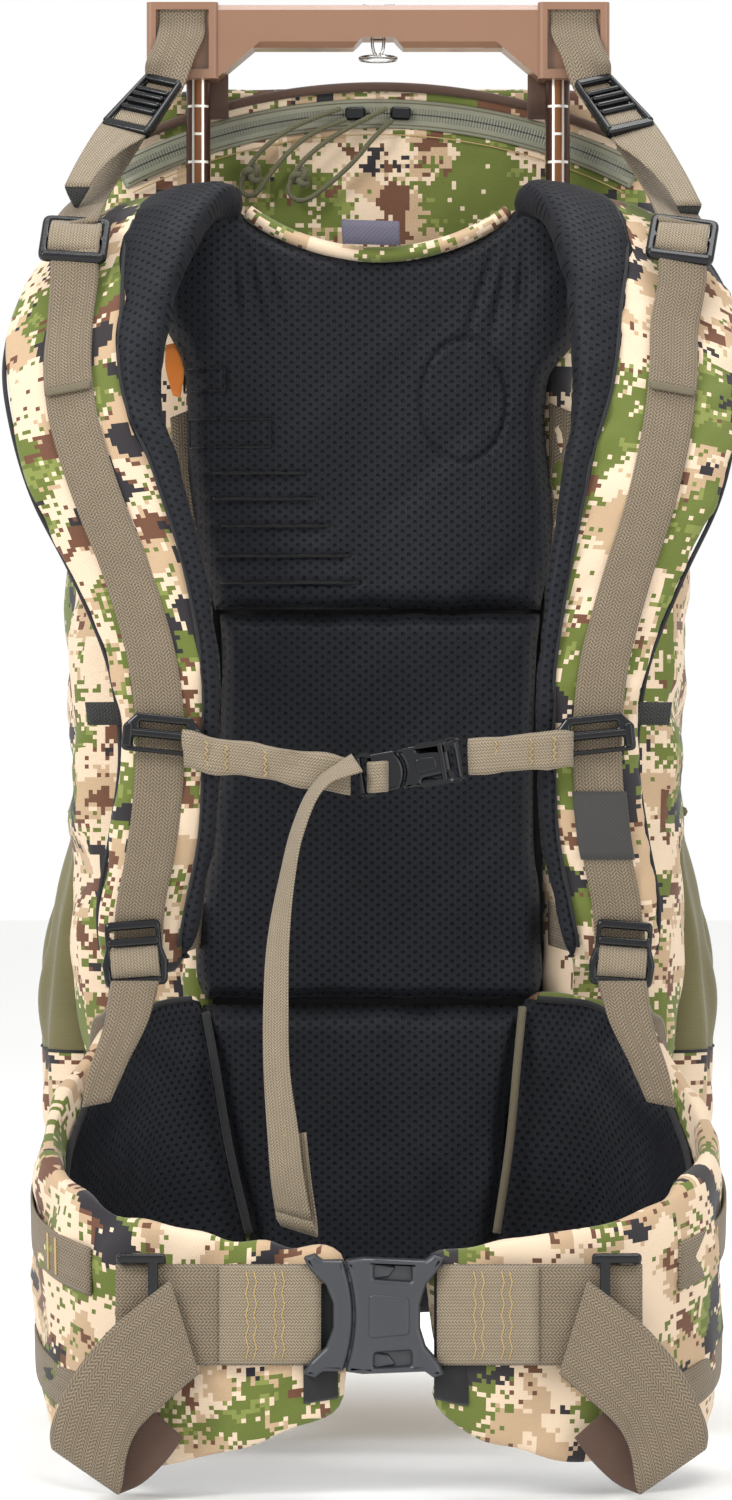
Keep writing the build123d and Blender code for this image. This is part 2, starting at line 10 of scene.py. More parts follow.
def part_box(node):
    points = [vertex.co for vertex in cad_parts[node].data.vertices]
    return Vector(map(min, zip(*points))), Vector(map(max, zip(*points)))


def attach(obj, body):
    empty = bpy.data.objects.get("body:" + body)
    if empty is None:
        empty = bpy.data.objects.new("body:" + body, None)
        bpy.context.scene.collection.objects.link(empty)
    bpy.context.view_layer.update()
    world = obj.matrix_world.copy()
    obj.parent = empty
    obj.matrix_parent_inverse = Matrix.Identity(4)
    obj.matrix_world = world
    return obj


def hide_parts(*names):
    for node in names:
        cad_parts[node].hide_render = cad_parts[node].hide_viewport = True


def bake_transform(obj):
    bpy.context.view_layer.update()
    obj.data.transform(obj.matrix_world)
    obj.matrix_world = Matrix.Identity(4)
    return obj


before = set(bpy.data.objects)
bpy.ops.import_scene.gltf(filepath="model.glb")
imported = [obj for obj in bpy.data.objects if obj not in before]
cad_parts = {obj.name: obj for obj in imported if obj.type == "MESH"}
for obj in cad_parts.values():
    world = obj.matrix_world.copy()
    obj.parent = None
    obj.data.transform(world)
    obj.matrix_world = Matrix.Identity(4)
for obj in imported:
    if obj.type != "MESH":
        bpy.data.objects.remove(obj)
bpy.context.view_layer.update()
SIDES = (("left", -1.0), ("right", 1.0))
WEB = 0.0016  # one layer of webbing


def mm(*values):
    """Millimetres to metres, for one number, one point or nested lists of points."""
    found = np.array(values if len(values) > 1 else values[0], float) / 1000
    return float(found) if found.ndim == 0 else found


def sided(points, sign):
    """Right-side points in millimetres, kept (+1) or mirrored to the left (-1), in metres."""
    found = np.array(points, float) / 1000
    found[..., 0] *= sign
    return found


# ---- camera first -------------------------------------------------------------------------
camera = bpy.data.objects.new("camera", bpy.data.cameras.new("camera"))
bpy.context.scene.collection.objects.link(camera)
camera.location = mm(-6.5, -2960, 373)
camera.rotation_euler = (math.radians(90), 0, 0)
camera.data.sensor_width = 36
camera.data.lens = 129.8
bpy.context.scene.camera = camera


# ---- materials ----------------------------------------------------------------------------
def srgb(red, green, blue):
    """An 0-255 display colour as a linear RGBA tuple."""
    parts = [c / 255 for c in (red, green, blue)]
    return (*[c / 12.92 if c <= 0.04045 else ((c + 0.055) / 1.055) ** 2.4 for c in parts], 1.0)


class Finish:
    """One node material. Its methods add nodes: colour, rough and bump feed the surface shader, and the
    others return an output socket.
    """

    def __init__(self, name, colour, roughness, **surface):
        self.material = bpy.data.materials.new(name)
        self.material.use_nodes = True
        self.tree = self.material.node_tree
        self.bsdf = self.tree.nodes["Principled BSDF"]
        self.bsdf.inputs["Base Color"].default_value = colour
        self.bsdf.inputs["Roughness"].default_value = roughness
        for key, value in surface.items():
            self.bsdf.inputs[key.replace("_", " ")].default_value = value
        self.coords = self.tree.nodes.new("ShaderNodeTexCoord")
        self.uv = self.coords.outputs["UV"]
        self.object = self.coords.outputs["Object"]

    def put(self, kind, *values, out=0, **settings):
        """Any shader node, with its inputs linked or set in order."""
        node = self.tree.nodes.new("ShaderNode" + kind)
        for key, value in settings.items():
            setattr(node, key, value)
        for socket, value in zip(node.inputs, values):
            if isinstance(value, bpy.types.NodeSocket):
                self.tree.links.new(value, socket)
            elif value is not None:
                socket.default_value = value
        return node.outputs[out]

    def math(self, operation, *values):
        """One step of arithmetic."""
        return self.put("Math", *values, operation=operation)

    def vector(self, operation, *values, out=0):
        """One step of vector arithmetic."""
        return self.put("VectorMath", *values, operation=operation, out=out)

    def noise(self, vector, scale, detail=2.0, shift=0.0):
        """Smooth noise; shift moves its pattern."""
        node = self.tree.nodes.new("ShaderNodeTexNoise")
        moved = self.vector("ADD", vector, (shift, shift * 0.7, 0.0))
        self.tree.links.new(moved, node.inputs["Vector"])
        node.inputs["Scale"].default_value = scale
        node.inputs["Detail"].default_value = detail
        return node.outputs["Fac"]

    def white(self, vector, shift):
        """An even random value for each place."""
        return self.put("TexWhiteNoise", self.vector("ADD", vector, (shift, shift, shift)),
                        noise_dimensions="3D")

    def mix(self, share, first, second):
        """A colour between first and second."""
        node = self.tree.nodes.new("ShaderNodeMix")
        node.data_type = "RGBA"
        for index, value in ((0, share), (6, first), (7, second)):
            if isinstance(value, bpy.types.NodeSocket):
                self.tree.links.new(value, node.inputs[index])
            else:
                node.inputs[index].default_value = value
        return node.outputs[2]

    def above(self, value, limit):
        """1 where value is over limit and 0 elsewhere."""
        return self.math("GREATER_THAN", value, limit)

    def spread(self, value, low, high):
        """Maps low..high to 0..1, clamped."""
        return self.put("MapRange", value, low, high, 0.0, 1.0)

    def parts(self, vector):
        """The X, Y and Z sockets of a vector."""
        node = self.tree.nodes.new("ShaderNodeSeparateXYZ")
        self.tree.links.new(vector, node.inputs[0])
        return node.outputs

    def colour(self, socket):
        """Feeds the base colour."""
        self.tree.links.new(socket, self.bsdf.inputs["Base Color"])

    def rough(self, value, low, high):
        """Feeds the roughness, with 0..1 spread over low..high."""
        found = self.put("MapRange", value, 0.0, 1.0, low, high)
        self.tree.links.new(found, self.bsdf.inputs["Roughness"])

    def bump(self, height, distance, strength=1.0):
        """Feeds the surface normal from a height."""
        node = self.tree.nodes.new("ShaderNodeBump")
        node.inputs["Strength"].default_value = strength
        node.inputs["Distance"].default_value = distance
        self.tree.links.new(height, node.inputs["Height"])
        self.tree.links.new(node.outputs[0], self.bsdf.inputs["Normal"])


CREAM = srgb(216, 194, 168)
TAN = srgb(182, 155, 124)
OLIVE = srgb(92, 105, 42)
LIGHT_OLIVE = srgb(122, 131, 66)
RUST = srgb(98, 62, 45)
NAVY = srgb(27, 28, 38)
CELL = 0.0023  # side of the print's square cells
MESH_PITCH = (0.0066, 0.0050)  # spacing of the spacer mesh's holes
YARN_PITCH = 0.0016  # yarns across a band, and teeth along the zipper
STRAND_WAVES = 3600.0  # phase of the pull cord's strands, in radians per metre
TUBE_X = 0.097  # distance of each stay from the middle


def camo_fabric(name):
    """Woven fabric printed with a generic pattern of square cells in five colours."""
    f = Finish(name, CREAM, 0.86, Sheen_Weight=0.15, Specular_IOR_Level=0.25)
    cell = f.vector("SNAP", f.uv, (CELL, CELL, 1.0))
    dither = f.math("SUBTRACT", f.white(cell, 0.31), 0.5)

    def blobs(scale, detail, shift, limit, roughen):
        noise = f.noise(cell, scale, detail, shift)
        return f.above(f.math("MULTIPLY_ADD", dither, roughen, noise), limit)

    speck = f.white(cell, 1.77)
    colour = f.mix(blobs(34, 3, 3.1, 0.53, 0.05), CREAM, TAN)
    colour = f.mix(f.math("MULTIPLY", f.above(speck, 0.93), blobs(26, 1, 8.3, 0.5, 0.0)), colour, RUST)
    olive_at = blobs(21, 3.5, 12.7, 0.545, 0.07)
    olive = f.mix(f.above(f.noise(cell, 48, 2, 5.9), 0.56), OLIVE, LIGHT_OLIVE)
    olive = f.mix(f.above(f.white(cell, 4.4), 0.93), olive, CREAM)
    colour = f.mix(olive_at, colour, olive)
    near_olive = blobs(21, 3.5, 12.7, 0.505, 0.12)
    colour = f.mix(f.math("MULTIPLY", near_olive, f.above(f.white(cell, 6.2), 0.72)), colour, OLIVE)
    colour = f.mix(blobs(40, 2.5, 21.3, 0.615, 0.06), colour, RUST)
    colour = f.mix(blobs(24, 3.5, 33.8, 0.6, 0.035), colour, NAVY)
    shade = f.noise(f.object, 9, 3, 2.0)
    colour = f.mix(f.math("MULTIPLY", shade, 0.16), colour, srgb(120, 104, 84))
    f.colour(colour)
    weave = f.put("TexWave", f.uv, 420.0, bands_direction="DIAGONAL", out=1)
    fuzz = f.noise(f.uv, 900, 2)
    f.bump(f.math("ADD", weave, fuzz), 0.00025, 0.35)
    return f.material


def spacer_mesh():
    """Black knitted spacer fabric with staggered rows of small holes, the holes painted near-black as
    painted shade in the hollows behind them.
    """
    f = Finish("spacer_mesh", srgb(17, 18, 20), 0.62, Sheen_Weight=0.03, Sheen_Roughness=0.4,
               Specular_IOR_Level=0.16)
    spots = []
    for shift in (0.0, 0.5):
        place = f.vector("ADD", f.vector("DIVIDE", f.uv, (*MESH_PITCH, 1.0)), (shift, shift, 0.0))
        local = f.vector("SUBTRACT", f.vector("FRACTION", place), (0.5, 0.5, 0.0))
        spots.append(f.vector("LENGTH", f.vector("MULTIPLY", local, (*MESH_PITCH, 0.0)), out=1))
    hole = f.math("SUBTRACT", 1.0, f.spread(f.math("MINIMUM", *spots), 0.0006, 0.0011))
    cloud = f.noise(f.object, 14, 3)
    knit = f.put("TexWave", f.uv, 190.0, bands_direction="X", out=1)
    body = f.mix(cloud, srgb(18, 19, 23), srgb(31, 33, 40))
    body = f.mix(f.math("MULTIPLY", knit, 0.25), body, srgb(10, 10, 12))
    # The holes are painted near-black: painted shade inside each hole, where the knit's hollow lies in
    # shadow.
    f.colour(f.mix(hole, body, srgb(2, 2, 3)))
    f.rough(f.noise(f.uv, 700, 2), 0.46, 0.72)
    height = f.math("SUBTRACT", f.math("MULTIPLY", f.noise(f.uv, 600, 2), 0.4), hole)
    f.bump(height, 0.0009, 0.8)
    return f.material


def webbing(name, light, dark, rib=0.0019, roughness=0.72):
    """Woven webbing: u runs across the band and v along it. The weave's low parts are painted towards the
    dark colour, a painted shade between the yarns, and random patches darken it too.
    """
    f = Finish(name, light, roughness, Sheen_Weight=0.12, Specular_IOR_Level=0.35)
    across, along, _ = f.parts(f.uv)
    chevron = f.math("PINGPONG", across, 0.0032)
    turn = f.math("MULTIPLY", f.math("ADD", along, chevron), 2 * math.pi / rib)
    diagonal = f.math("MULTIPLY_ADD", f.math("SINE", turn), 0.5, 0.5)
    phase = f.math("MULTIPLY", across, 2 * math.pi / YARN_PITCH)
    yarn = f.math("MULTIPLY_ADD", f.math("SINE", phase), 0.5, 0.5)
    height = f.math("MULTIPLY_ADD", diagonal, 0.65, f.math("MULTIPLY", yarn, 0.35))
    uneven = f.noise(f.uv, 90, 3)
    # Low parts of the weave take the dark colour and raised ones the light: painted shade between the yarns.
    # The uneven patches below are random tone.
    colour = f.mix(f.spread(height, 0.1, 0.95), dark, light)
    f.colour(f.mix(f.math("MULTIPLY", uneven, 0.35), colour, dark))
    f.rough(uneven, roughness - 0.1, roughness + 0.12)
    f.bump(height, 0.0006, 0.75)
    return f.material


def moulded(name, colour, worn, roughness, grain=420.0, bump=0.00008, **surface):
    """Moulded plastic with a fine grain and slightly uneven gloss."""
    f = Finish(name, colour, roughness, **surface)
    cloud = f.noise(f.object, 26, 4)
    f.colour(f.mix(f.math("MULTIPLY", cloud, 0.5), colour, worn))
    fine = f.noise(f.object, grain, 3)
    f.rough(f.math("MULTIPLY_ADD", fine, 0.5, f.math("MULTIPLY", cloud, 0.5)), roughness - 0.07,
            roughness + 0.12)
    f.bump(fine, bump, 0.6)
    return f.material


def anodised_tube():
    """Orange-brown anodised tube with a white scale on its front; its flanks are painted darker as painted
    shade.
    """
    f = Finish("anodised_tube", srgb(150, 84, 44), 0.3, Metallic=0.55)
    x, y, z = f.parts(f.object)
    side = f.math("ABSOLUTE", f.math("SUBTRACT", f.math("ABSOLUTE", x), TUBE_X))
    line = f.math("LESS_THAN", f.math("ABSOLUTE", f.math("SUBTRACT", side, 0.0026)), 0.0006)
    step = f.math("PINGPONG", f.math("SUBTRACT", z, 0.630), 0.015)
    long_tick = f.math("MULTIPLY", f.math("LESS_THAN", step, 0.0007), f.math("LESS_THAN", side, 0.0055))
    short_tick = f.math("MULTIPLY", f.math("GREATER_THAN", step, 0.0143), f.math("LESS_THAN", side, 0.0026))
    marks = f.math("MAXIMUM", line, f.math("MAXIMUM", long_tick, short_tick))
    front = f.math("LESS_THAN", y, -0.0405)
    # Towards each tube's flanks, 2.4 to 3.6 mm off its axis, the metal is painted dark brown: painted shade
    # where the round turns away.
    edge = f.spread(side, 0.0024, 0.0036)
    brushed = f.noise(f.vector("MULTIPLY", f.object, (1, 1, 0.05)), 900, 3)
    metal = f.mix(edge, srgb(124, 78, 42), srgb(56, 31, 20))
    metal = f.mix(f.math("MULTIPLY", brushed, 0.3), metal, srgb(96, 54, 32))
    f.colour(f.mix(f.math("MULTIPLY", marks, front), metal, srgb(232, 226, 216)))
    f.rough(brushed, 0.24, 0.42)
    return f.material


def stretch_fabric():
    """Matt olive stretch-woven fabric."""
    f = Finish("stretch_fabric", srgb(104, 104, 66), 0.85, Sheen_Weight=0.2)
    cloud = f.noise(f.object, 22, 4)
    knit = f.put("TexWave", f.object, 330.0, bands_direction="Z", out=1)
    colour = f.mix(cloud, srgb(81, 77, 44), srgb(111, 103, 64))
    f.colour(f.mix(f.math("MULTIPLY", knit, 0.2), colour, srgb(60, 62, 38)))
    f.bump(f.math("ADD", knit, f.noise(f.object, 800, 2)), 0.0003, 0.4)
    return f.material


def zipper_tape():
    """Coated zipper tape: a middle line where the coated halves meet and faint ribs beside it."""
    f = Finish("zipper_tape", srgb(108, 108, 88), 0.45, Specular_IOR_Level=0.5)
    across, along, _ = f.parts(f.uv)
    from_middle = f.math("ABSOLUTE", across)
    split = f.math("LESS_THAN", from_middle, 0.0004)
    coil = f.math("LESS_THAN", from_middle, 0.0032)
    tooth = f.math("SINE", f.math("MULTIPLY", along, 2 * math.pi / YARN_PITCH))
    colour = f.mix(f.noise(f.uv, 60, 3), srgb(104, 105, 88), srgb(132, 132, 113))
    colour = f.mix(f.math("MULTIPLY", coil, 0.35), colour, srgb(70, 70, 56))
    f.colour(f.mix(split, colour, srgb(26, 26, 22)))
    f.bump(f.math("MULTIPLY", tooth, coil), 0.0003, 0.6)
    return f.material


def braided_cord():
    """Thin braided cord with two crossing runs of strands, their hollows painted dark and their crests light
    as painted shade and light.
    """
    f = Finish("pull_cord", srgb(76, 74, 48), 0.7, Sheen_Weight=0.2)
    x, _, z = f.parts(f.object)
    runs = [f.math("SINE", f.math("MULTIPLY", f.math(sense, x, z), STRAND_WAVES))
            for sense in ("ADD", "SUBTRACT")]
    strands = f.math("MULTIPLY_ADD", f.math("MULTIPLY", *runs), 0.5, 0.5)
    # Hollows between the strands take the dark colour and crests the light one: painted shade and light on
    # the braid.
    f.colour(f.mix(strands, srgb(44, 44, 28), srgb(104, 100, 68)))
    f.bump(strands, 0.0003, 0.8)
    return f.material


def steel(name, colour, roughness):
    """Bright drawn wire."""
    f = Finish(name, colour, roughness, Metallic=1.0)
    drawn = f.noise(f.vector("MULTIPLY", f.object, (1, 1, 0.2)), 500, 3)
    f.rough(drawn, roughness - 0.06, roughness + 0.12)
    f.colour(f.mix(f.math("MULTIPLY", drawn, 0.4), colour, srgb(120, 118, 116)))
    return f.material


def plain_weave(name, colour, dark, scale=500.0):
    """Plain woven cloth, for labels, bindings and tabs."""
    f = Finish(name, colour, 0.8, Sheen_Weight=0.1)
    weave = f.put("TexWave", f.uv, scale, bands_direction="DIAGONAL", out=1)
    cloud = f.noise(f.object, 60, 3)
    f.colour(f.mix(f.math("MULTIPLY", f.math("ADD", weave, cloud), 0.3), colour, dark))
    f.bump(weave, 0.0002, 0.5)
    return f.material


CAMO = camo_fabric("camo_fabric")
MESH = spacer_mesh()
COYOTE = webbing("harness_webbing", srgb(146, 130, 108), srgb(82, 72, 57))
LIGHT_WEB = webbing("sternum_webbing", srgb(163, 148, 125), srgb(99, 88, 71), rib=0.0016)
DARK_WEB = webbing("dark_webbing", srgb(54, 54, 52), srgb(20, 20, 20))
COPPER = moulded("moulded_copper", srgb(134, 99, 77), srgb(110, 78, 59), 0.3, Coat_Weight=0.15)
ACETAL = moulded("black_acetal", srgb(13, 14, 16), srgb(22, 23, 26), 0.17, Specular_IOR_Level=0.34)
GREY_ACETAL = moulded("grey_acetal", srgb(43, 45, 49), srgb(57, 59, 64), 0.33, bump=0.00015)
TUBE = anodised_tube()
STEEL = steel("steel_wire", srgb(205, 203, 200), 0.22)
ALLOY = moulded("frame_alloy", srgb(110, 72, 50), srgb(80, 52, 38), 0.4, Metallic=0.5)
SHEET = moulded("frame_sheet", srgb(30, 30, 32), srgb(46, 46, 48), 0.5)
STRETCH = stretch_fabric()
TAPE = zipper_tape()
CORD = braided_cord()
PIPING = plain_weave("black_piping", srgb(20, 21, 24), srgb(8, 8, 10))
BINDING = plain_weave("olive_binding", srgb(104, 95, 74), srgb(68, 61, 47))
BROWN = plain_weave("brown_binding", srgb(84, 60, 46), srgb(52, 37, 29))
LABEL = plain_weave("label_grey", srgb(84, 80, 96), srgb(58, 56, 68), 260.0)
# Near-black cloth for the rods on the yoke's steps: their seams, drawn darker than the mesh as a painted
# shadow in each step.
SEAM_SHADOW = plain_weave("seam_painted_shadow", srgb(8, 8, 10), srgb(3, 3, 4))
TAB = plain_weave("orange_tab", srgb(222, 128, 40), srgb(160, 84, 24))
PATCH = plain_weave("patch_grey", srgb(58, 56, 54), srgb(34, 33, 33), 300.0)
THREAD = plain_weave("thread_tan", srgb(186, 158, 104), srgb(132, 108, 68))


# ---- mesh helpers -------------------------------------------------------------------------
def solid(name, verts, faces, materials, body, uv=None, picks=None, smooth=True):
    """A mesh object that rides on body. uv is one pair per vertex, picks one material number per face."""
    mesh = bpy.data.meshes.new(name)
    mesh.from_pydata([tuple(map(float, v)) for v in verts], [], [tuple(map(int, f)) for f in faces])
    materials = materials if isinstance(materials, (list, tuple)) else [materials]
    for material in materials:
        mesh.materials.append(material)
    if picks is not None:
        mesh.polygons.foreach_set("material_index", np.array(picks, np.int32))
    if uv is not None:
        uv = np.array(uv, float)
        loops = np.zeros(len(mesh.loops), np.int32)
        mesh.loops.foreach_get("vertex_index", loops)
        mesh.uv_layers.new(name="UVMap").data.foreach_set("uv", uv[loops].astype(np.float32).ravel())
    mesh.polygons.foreach_set("use_smooth", np.full(len(mesh.polygons), smooth))
    mesh.update()
    made = bpy.data.objects.new(name, mesh)
    bpy.context.scene.collection.objects.link(made)
    if body:
        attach(made, body)
    return made


def box_uv(made, shift=(0.0, 0.0)):
    """Projects each face along the axis it faces most, in metres."""
    mesh = made.data
    layer = mesh.uv_layers.get("UVMap") or mesh.uv_layers.new(name="UVMap")
    co = coords(made)
    values = np.zeros((len(mesh.loops), 2), np.float32)
    for face in mesh.polygons:
        axis = int(np.argmax(np.abs(np.array(face.normal) * (1.0, 1.2, 0.8))))
        keep = ((1, 2), (0, 2), (0, 1))[axis]
        for loop in face.loop_indices:
            values[loop] = co[mesh.loops[loop].vertex_index][list(keep)]
    layer.data.foreach_set("uv", (values + np.array(shift, np.float32)).ravel())


def coords(made):
    """The vertices' positions."""
    found = np.zeros(len(made.data.vertices) * 3)
    made.data.vertices.foreach_get("co", found)
    return found.reshape(-1, 3)


def set_coords(made, values):
    """Moves the vertices to the given positions."""
    made.data.vertices.foreach_set("co", np.asarray(values, np.float32).ravel())
    made.data.update()


def hermite(t, span, first, last, first_slope, last_slope):
    """A cubic from first to last with the given slopes, where t runs from 0 to 1 over span."""
    return ((2 * t**3 - 3 * t**2 + 1) * first + (t**3 - 2 * t**2 + t) * span * first_slope
            + (3 * t**2 - 2 * t**3) * last + (t**3 - t**2) * span * last_slope)


def resample(stations, count):
    """Smooth stations, evenly spaced along their middle line. Returns them and their distances."""
    given = np.asarray(stations, float)
    flat = given.reshape(len(given), -1)
    middle = given.reshape(len(given), -1, 3).mean(1)
    at = np.r_[0, np.cumsum(np.linalg.norm(np.diff(middle, axis=0), axis=1))]
    slope = np.gradient(flat, at, axis=0) if len(given) > 2 else np.tile((flat[1] - flat[0]) / at[1], (2, 1))
    where = np.linspace(0, at[-1], count)
    i = np.clip(np.searchsorted(at, where, side="right") - 1, 0, len(at) - 2)
    span = (at[i + 1] - at[i])[:, None]
    t = (where - at[i])[:, None] / span
    out = hermite(t, span, flat[i], flat[i + 1], slope[i], slope[i + 1])
    return out.reshape(count, *given.shape[1:]), where


def unit(v):
    """Vectors scaled to length 1."""
    v = np.asarray(v, float)
    return v / np.maximum(np.linalg.norm(v, axis=-1, keepdims=True), 1e-12)


def strip_frames(rows, flip=1.0):
    """Middle, across, outward normal and width of each row of a two-edged strip."""
    middle = rows.mean(1)
    width = np.linalg.norm(rows[:, 1] - rows[:, 0], axis=1)
    across = unit(rows[:, 1] - rows[:, 0])
    along = np.gradient(middle, axis=0)
    along = unit(along - across * (along * across).sum(1, keepdims=True))
    return middle, across, flip * np.cross(along, across), width


def ring_faces(rows, columns):
    """Quads of a tube of closed loops, numbered row by row."""
    faces = []
    for r in range(rows - 1):
        for c in range(columns):
            d = (c + 1) % columns
            faces.append((r * columns + c, r * columns + d, (r + 1) * columns + d, (r + 1) * columns + c))
    return faces


def sheet_faces(rows, columns):
    """Quads of an open sheet, numbered row by row."""
    faces = []
    for r in range(rows - 1):
        for c in range(columns - 1):
            a = r * columns + c
            faces.append((a, a + 1, a + columns + 1, a + columns))
    return faces


def closed_faces(rows, columns):
    """Faces of a front sheet, of its copy numbered on behind it, and of the rim between the two."""
    count = rows * columns
    front = sheet_faces(rows, columns)
    behind = [tuple(i + count for i in face[::-1]) for face in front]
    rim = [*range(columns), *[r * columns + columns - 1 for r in range(1, rows)],
           *[(rows - 1) * columns + c for c in range(columns - 2, -1, -1)],
           *[r * columns for r in range(rows - 2, 0, -1)]]
    return front + behind + [(a, a + count, b + count, b) for a, b in zip(rim, rim[1:] + rim[:1])]


def tube_faces(rows, columns, closed=False):
    """Faces of a tube of loops, with its ends filled, or joined to each other where closed."""
    last = (rows - 1) * columns
    if closed:
        ends = [(last + c, last + (c + 1) % columns, (c + 1) % columns, c) for c in range(columns)]
    else:
        ends = [tuple(range(columns))[::-1], tuple(last + c for c in range(columns))]
    return ring_faces(rows, columns) + ends


BAND_STEP = 0.004
BAND_ACROSS = np.array([-1, -0.94, -0.6, -0.2, 0.2, 0.6, 0.94, 1, 0.94, 0.6, 0.2, -0.2, -0.6, -0.94]) / 2
BAND_THICK = np.array([0, 0.85, 1, 1, 1, 1, 0.85, 0, -0.85, -1, -1, -1, -1, -0.85]) / 2


def band(name, edges, body, material=COYOTE, thick=WEB, flip=1.0, count=None, shift=0.0):
    """Flat webbing with soft edges through pairs of edge points; shift moves its weave along."""
    total = np.linalg.norm(np.diff(np.asarray(edges).mean(1), axis=0), axis=1).sum()
    rows, at = resample(edges, count or max(4, int(total / BAND_STEP)))
    middle, across, normal, width = strip_frames(rows, flip)
    reach = BAND_ACROSS[None, :] * width[:, None]
    rise = (BAND_THICK * thick)[None, :, None]
    verts = middle[:, None] + across[:, None] * reach[:, :, None] + normal[:, None] * rise
    uv = np.stack(np.broadcast_arrays(reach, at[:, None] + shift), -1)
    faces = tube_faces(*verts.shape[:2])
    return solid(name, verts.reshape(-1, 3), faces, material, body, uv.reshape(-1, 2))


def sweep(name, points, radius, body, material, sides=8, squash=1.0, closed=False):
    """A round rod along points; radius is one number or one per point."""
    p = np.asarray(points, float)
    radius = np.broadcast_to(np.asarray(radius, float), (len(p),))
    ahead = np.roll(p, -1, 0) - np.roll(p, 1, 0)
    if not closed:
        ahead[0], ahead[-1] = p[1] - p[0], p[-1] - p[-2]
    tangent = unit(ahead)
    normal = np.zeros_like(p)
    seed = np.array([0.0, 1.0, 0.0]) if abs(tangent[0][1]) < 0.9 else np.array([1.0, 0.0, 0.0])
    normal[0] = unit(seed - tangent[0] * seed.dot(tangent[0]))
    for i in range(1, len(p)):
        carried = normal[i - 1] - tangent[i] * normal[i - 1].dot(tangent[i])
        normal[i] = unit(carried)
    other = np.cross(tangent, normal)
    angle = np.linspace(0, 2 * np.pi, sides, endpoint=False)
    circle = (normal[:, None] * np.cos(angle)[None, :, None] * squash
              + other[:, None] * np.sin(angle)[None, :, None])
    verts = p[:, None] + circle * radius[:, None, None]
    at = np.r_[0, np.cumsum(np.linalg.norm(np.diff(p, axis=0), axis=1))]
    uv = np.stack(np.broadcast_arrays((angle * radius.mean())[None, :], at[:, None]), -1)
    faces = tube_faces(len(p), sides, closed)
    return solid(name, verts.reshape(-1, 3), faces, material, body, uv.reshape(-1, 2))


def rounded(points, radius, steps=4):
    """A closed 2-D outline with its corners rounded; radius is one number or one per corner."""
    p = np.asarray(points, float)
    radii = np.broadcast_to(np.asarray(radius, float), (len(p),))
    out = []
    for i, here in enumerate(p):
        to_last, to_next = unit(p[i - 1] - here), unit(p[(i + 1) % len(p)] - here)
        half = math.acos(float(np.clip(to_last.dot(to_next), -1, 1))) / 2
        room = 0.48 * min(np.linalg.norm(p[i - 1] - here), np.linalg.norm(p[(i + 1) % len(p)] - here))
        reach = min(radii[i] / math.tan(half), room) if half > 0.01 else 0
        if reach < 1e-7 or abs(half - math.pi / 2) < 0.01:
            out.append(here)
            continue
        a, b = here + to_last * reach, here + to_next * reach
        for k in range(steps + 1):
            t = k / steps
            out.append((1 - t) ** 2 * a + 2 * t * (1 - t) * here + t**2 * b)
    return np.array(out)


def rect(width, height, radius, at=(0.0, 0.0)):
    """A rectangle's outline with rounded corners."""
    w, h = width / 2, height / 2
    points = np.array([(-w, -h), (w, -h), (w, h), (-w, h)]) + np.array(at)
    return rounded(points, radius)


def area_of(outline):
    """Signed area, positive where the outline runs anticlockwise."""
    x, y = outline[:, 0], outline[:, 1]
    return 0.5 * float(np.sum(x * np.roll(y, -1) - y * np.roll(x, -1)))


def place_at(origin, x_dir, normal):
    """The matrix of a local frame whose X is x_dir and whose Z is normal."""
    z = unit(normal)
    x = unit(np.asarray(x_dir, float) - z * np.dot(x_dir, z))
    y = np.cross(z, x)
    found = np.eye(4)
    found[:3, 0], found[:3, 1], found[:3, 2], found[:3, 3] = x, y, z, origin
    return Matrix(found.tolist())


def plate(name, outer, holes, thick, bevel, place, body, material=ACETAL, lift=0.0):
    """A moulded plate from a 2-D outline with holes, its edges rounded by bevel. Millimetres."""
    curve = bpy.data.curves.new(name, "CURVE")
    curve.dimensions = "2D"
    curve.fill_mode = "BOTH"
    for index, outline in enumerate([outer, *holes]):
        turned = outline if (area_of(outline) > 0) == (index == 0) else outline[::-1]
        spline = curve.splines.new("POLY")
        spline.points.add(len(turned) - 1)
        for point, (x, y) in zip(spline.points, turned / 1000):
            point.co = (x, y, 0, 1)
        spline.use_cyclic_u = True
    curve.extrude = (thick / 2 - bevel) / 1000
    curve.bevel_depth = bevel / 1000
    curve.bevel_resolution = 2
    curve.offset = -bevel / 1000
    drawn = bpy.data.objects.new(name + "_outline", curve)
    bpy.context.scene.collection.objects.link(drawn)
    bpy.context.view_layer.update()
    mesh = bpy.data.meshes.new_from_object(drawn.evaluated_get(bpy.context.evaluated_depsgraph_get()))
    bpy.data.objects.remove(drawn)
    mesh.name = name
    mesh.transform(place @ Matrix.Translation((0, 0, lift / 1000)))
    mesh.materials.clear()
    mesh.materials.append(material)
    mesh.polygons.foreach_set("use_smooth", np.full(len(mesh.polygons), True))
    mesh.set_sharp_from_angle(angle=math.radians(50))
    made = bpy.data.objects.new(name, mesh)
    bpy.context.scene.collection.objects.link(made)
    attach(made, body)
    return made


def join(name, pieces):
    """Joins pieces that ride on one body into one object."""
    bpy.context.view_layer.update()
    first = pieces[0]
    with bpy.context.temp_override(active_object=first, object=first, selected_objects=pieces,
                                   selected_editable_objects=pieces):
        bpy.ops.object.join()
    first.name = name
    first.data.name = name
    return first


def moulding(node, parts, place, body, material=ACETAL):
    """A moulded piece that stands for a CAD node.

    parts are its plates as (outline, holes, thickness, bevel, lift), in millimetres.
    """
    name = f"{node}_moulded"
    plates = []
    for outline, holes, thick, bevel, lift in parts:
        plates.append(plate(name, outline, holes, thick, bevel, place, body, material, lift))
    made = join(name, plates)
    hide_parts(node)
    return made


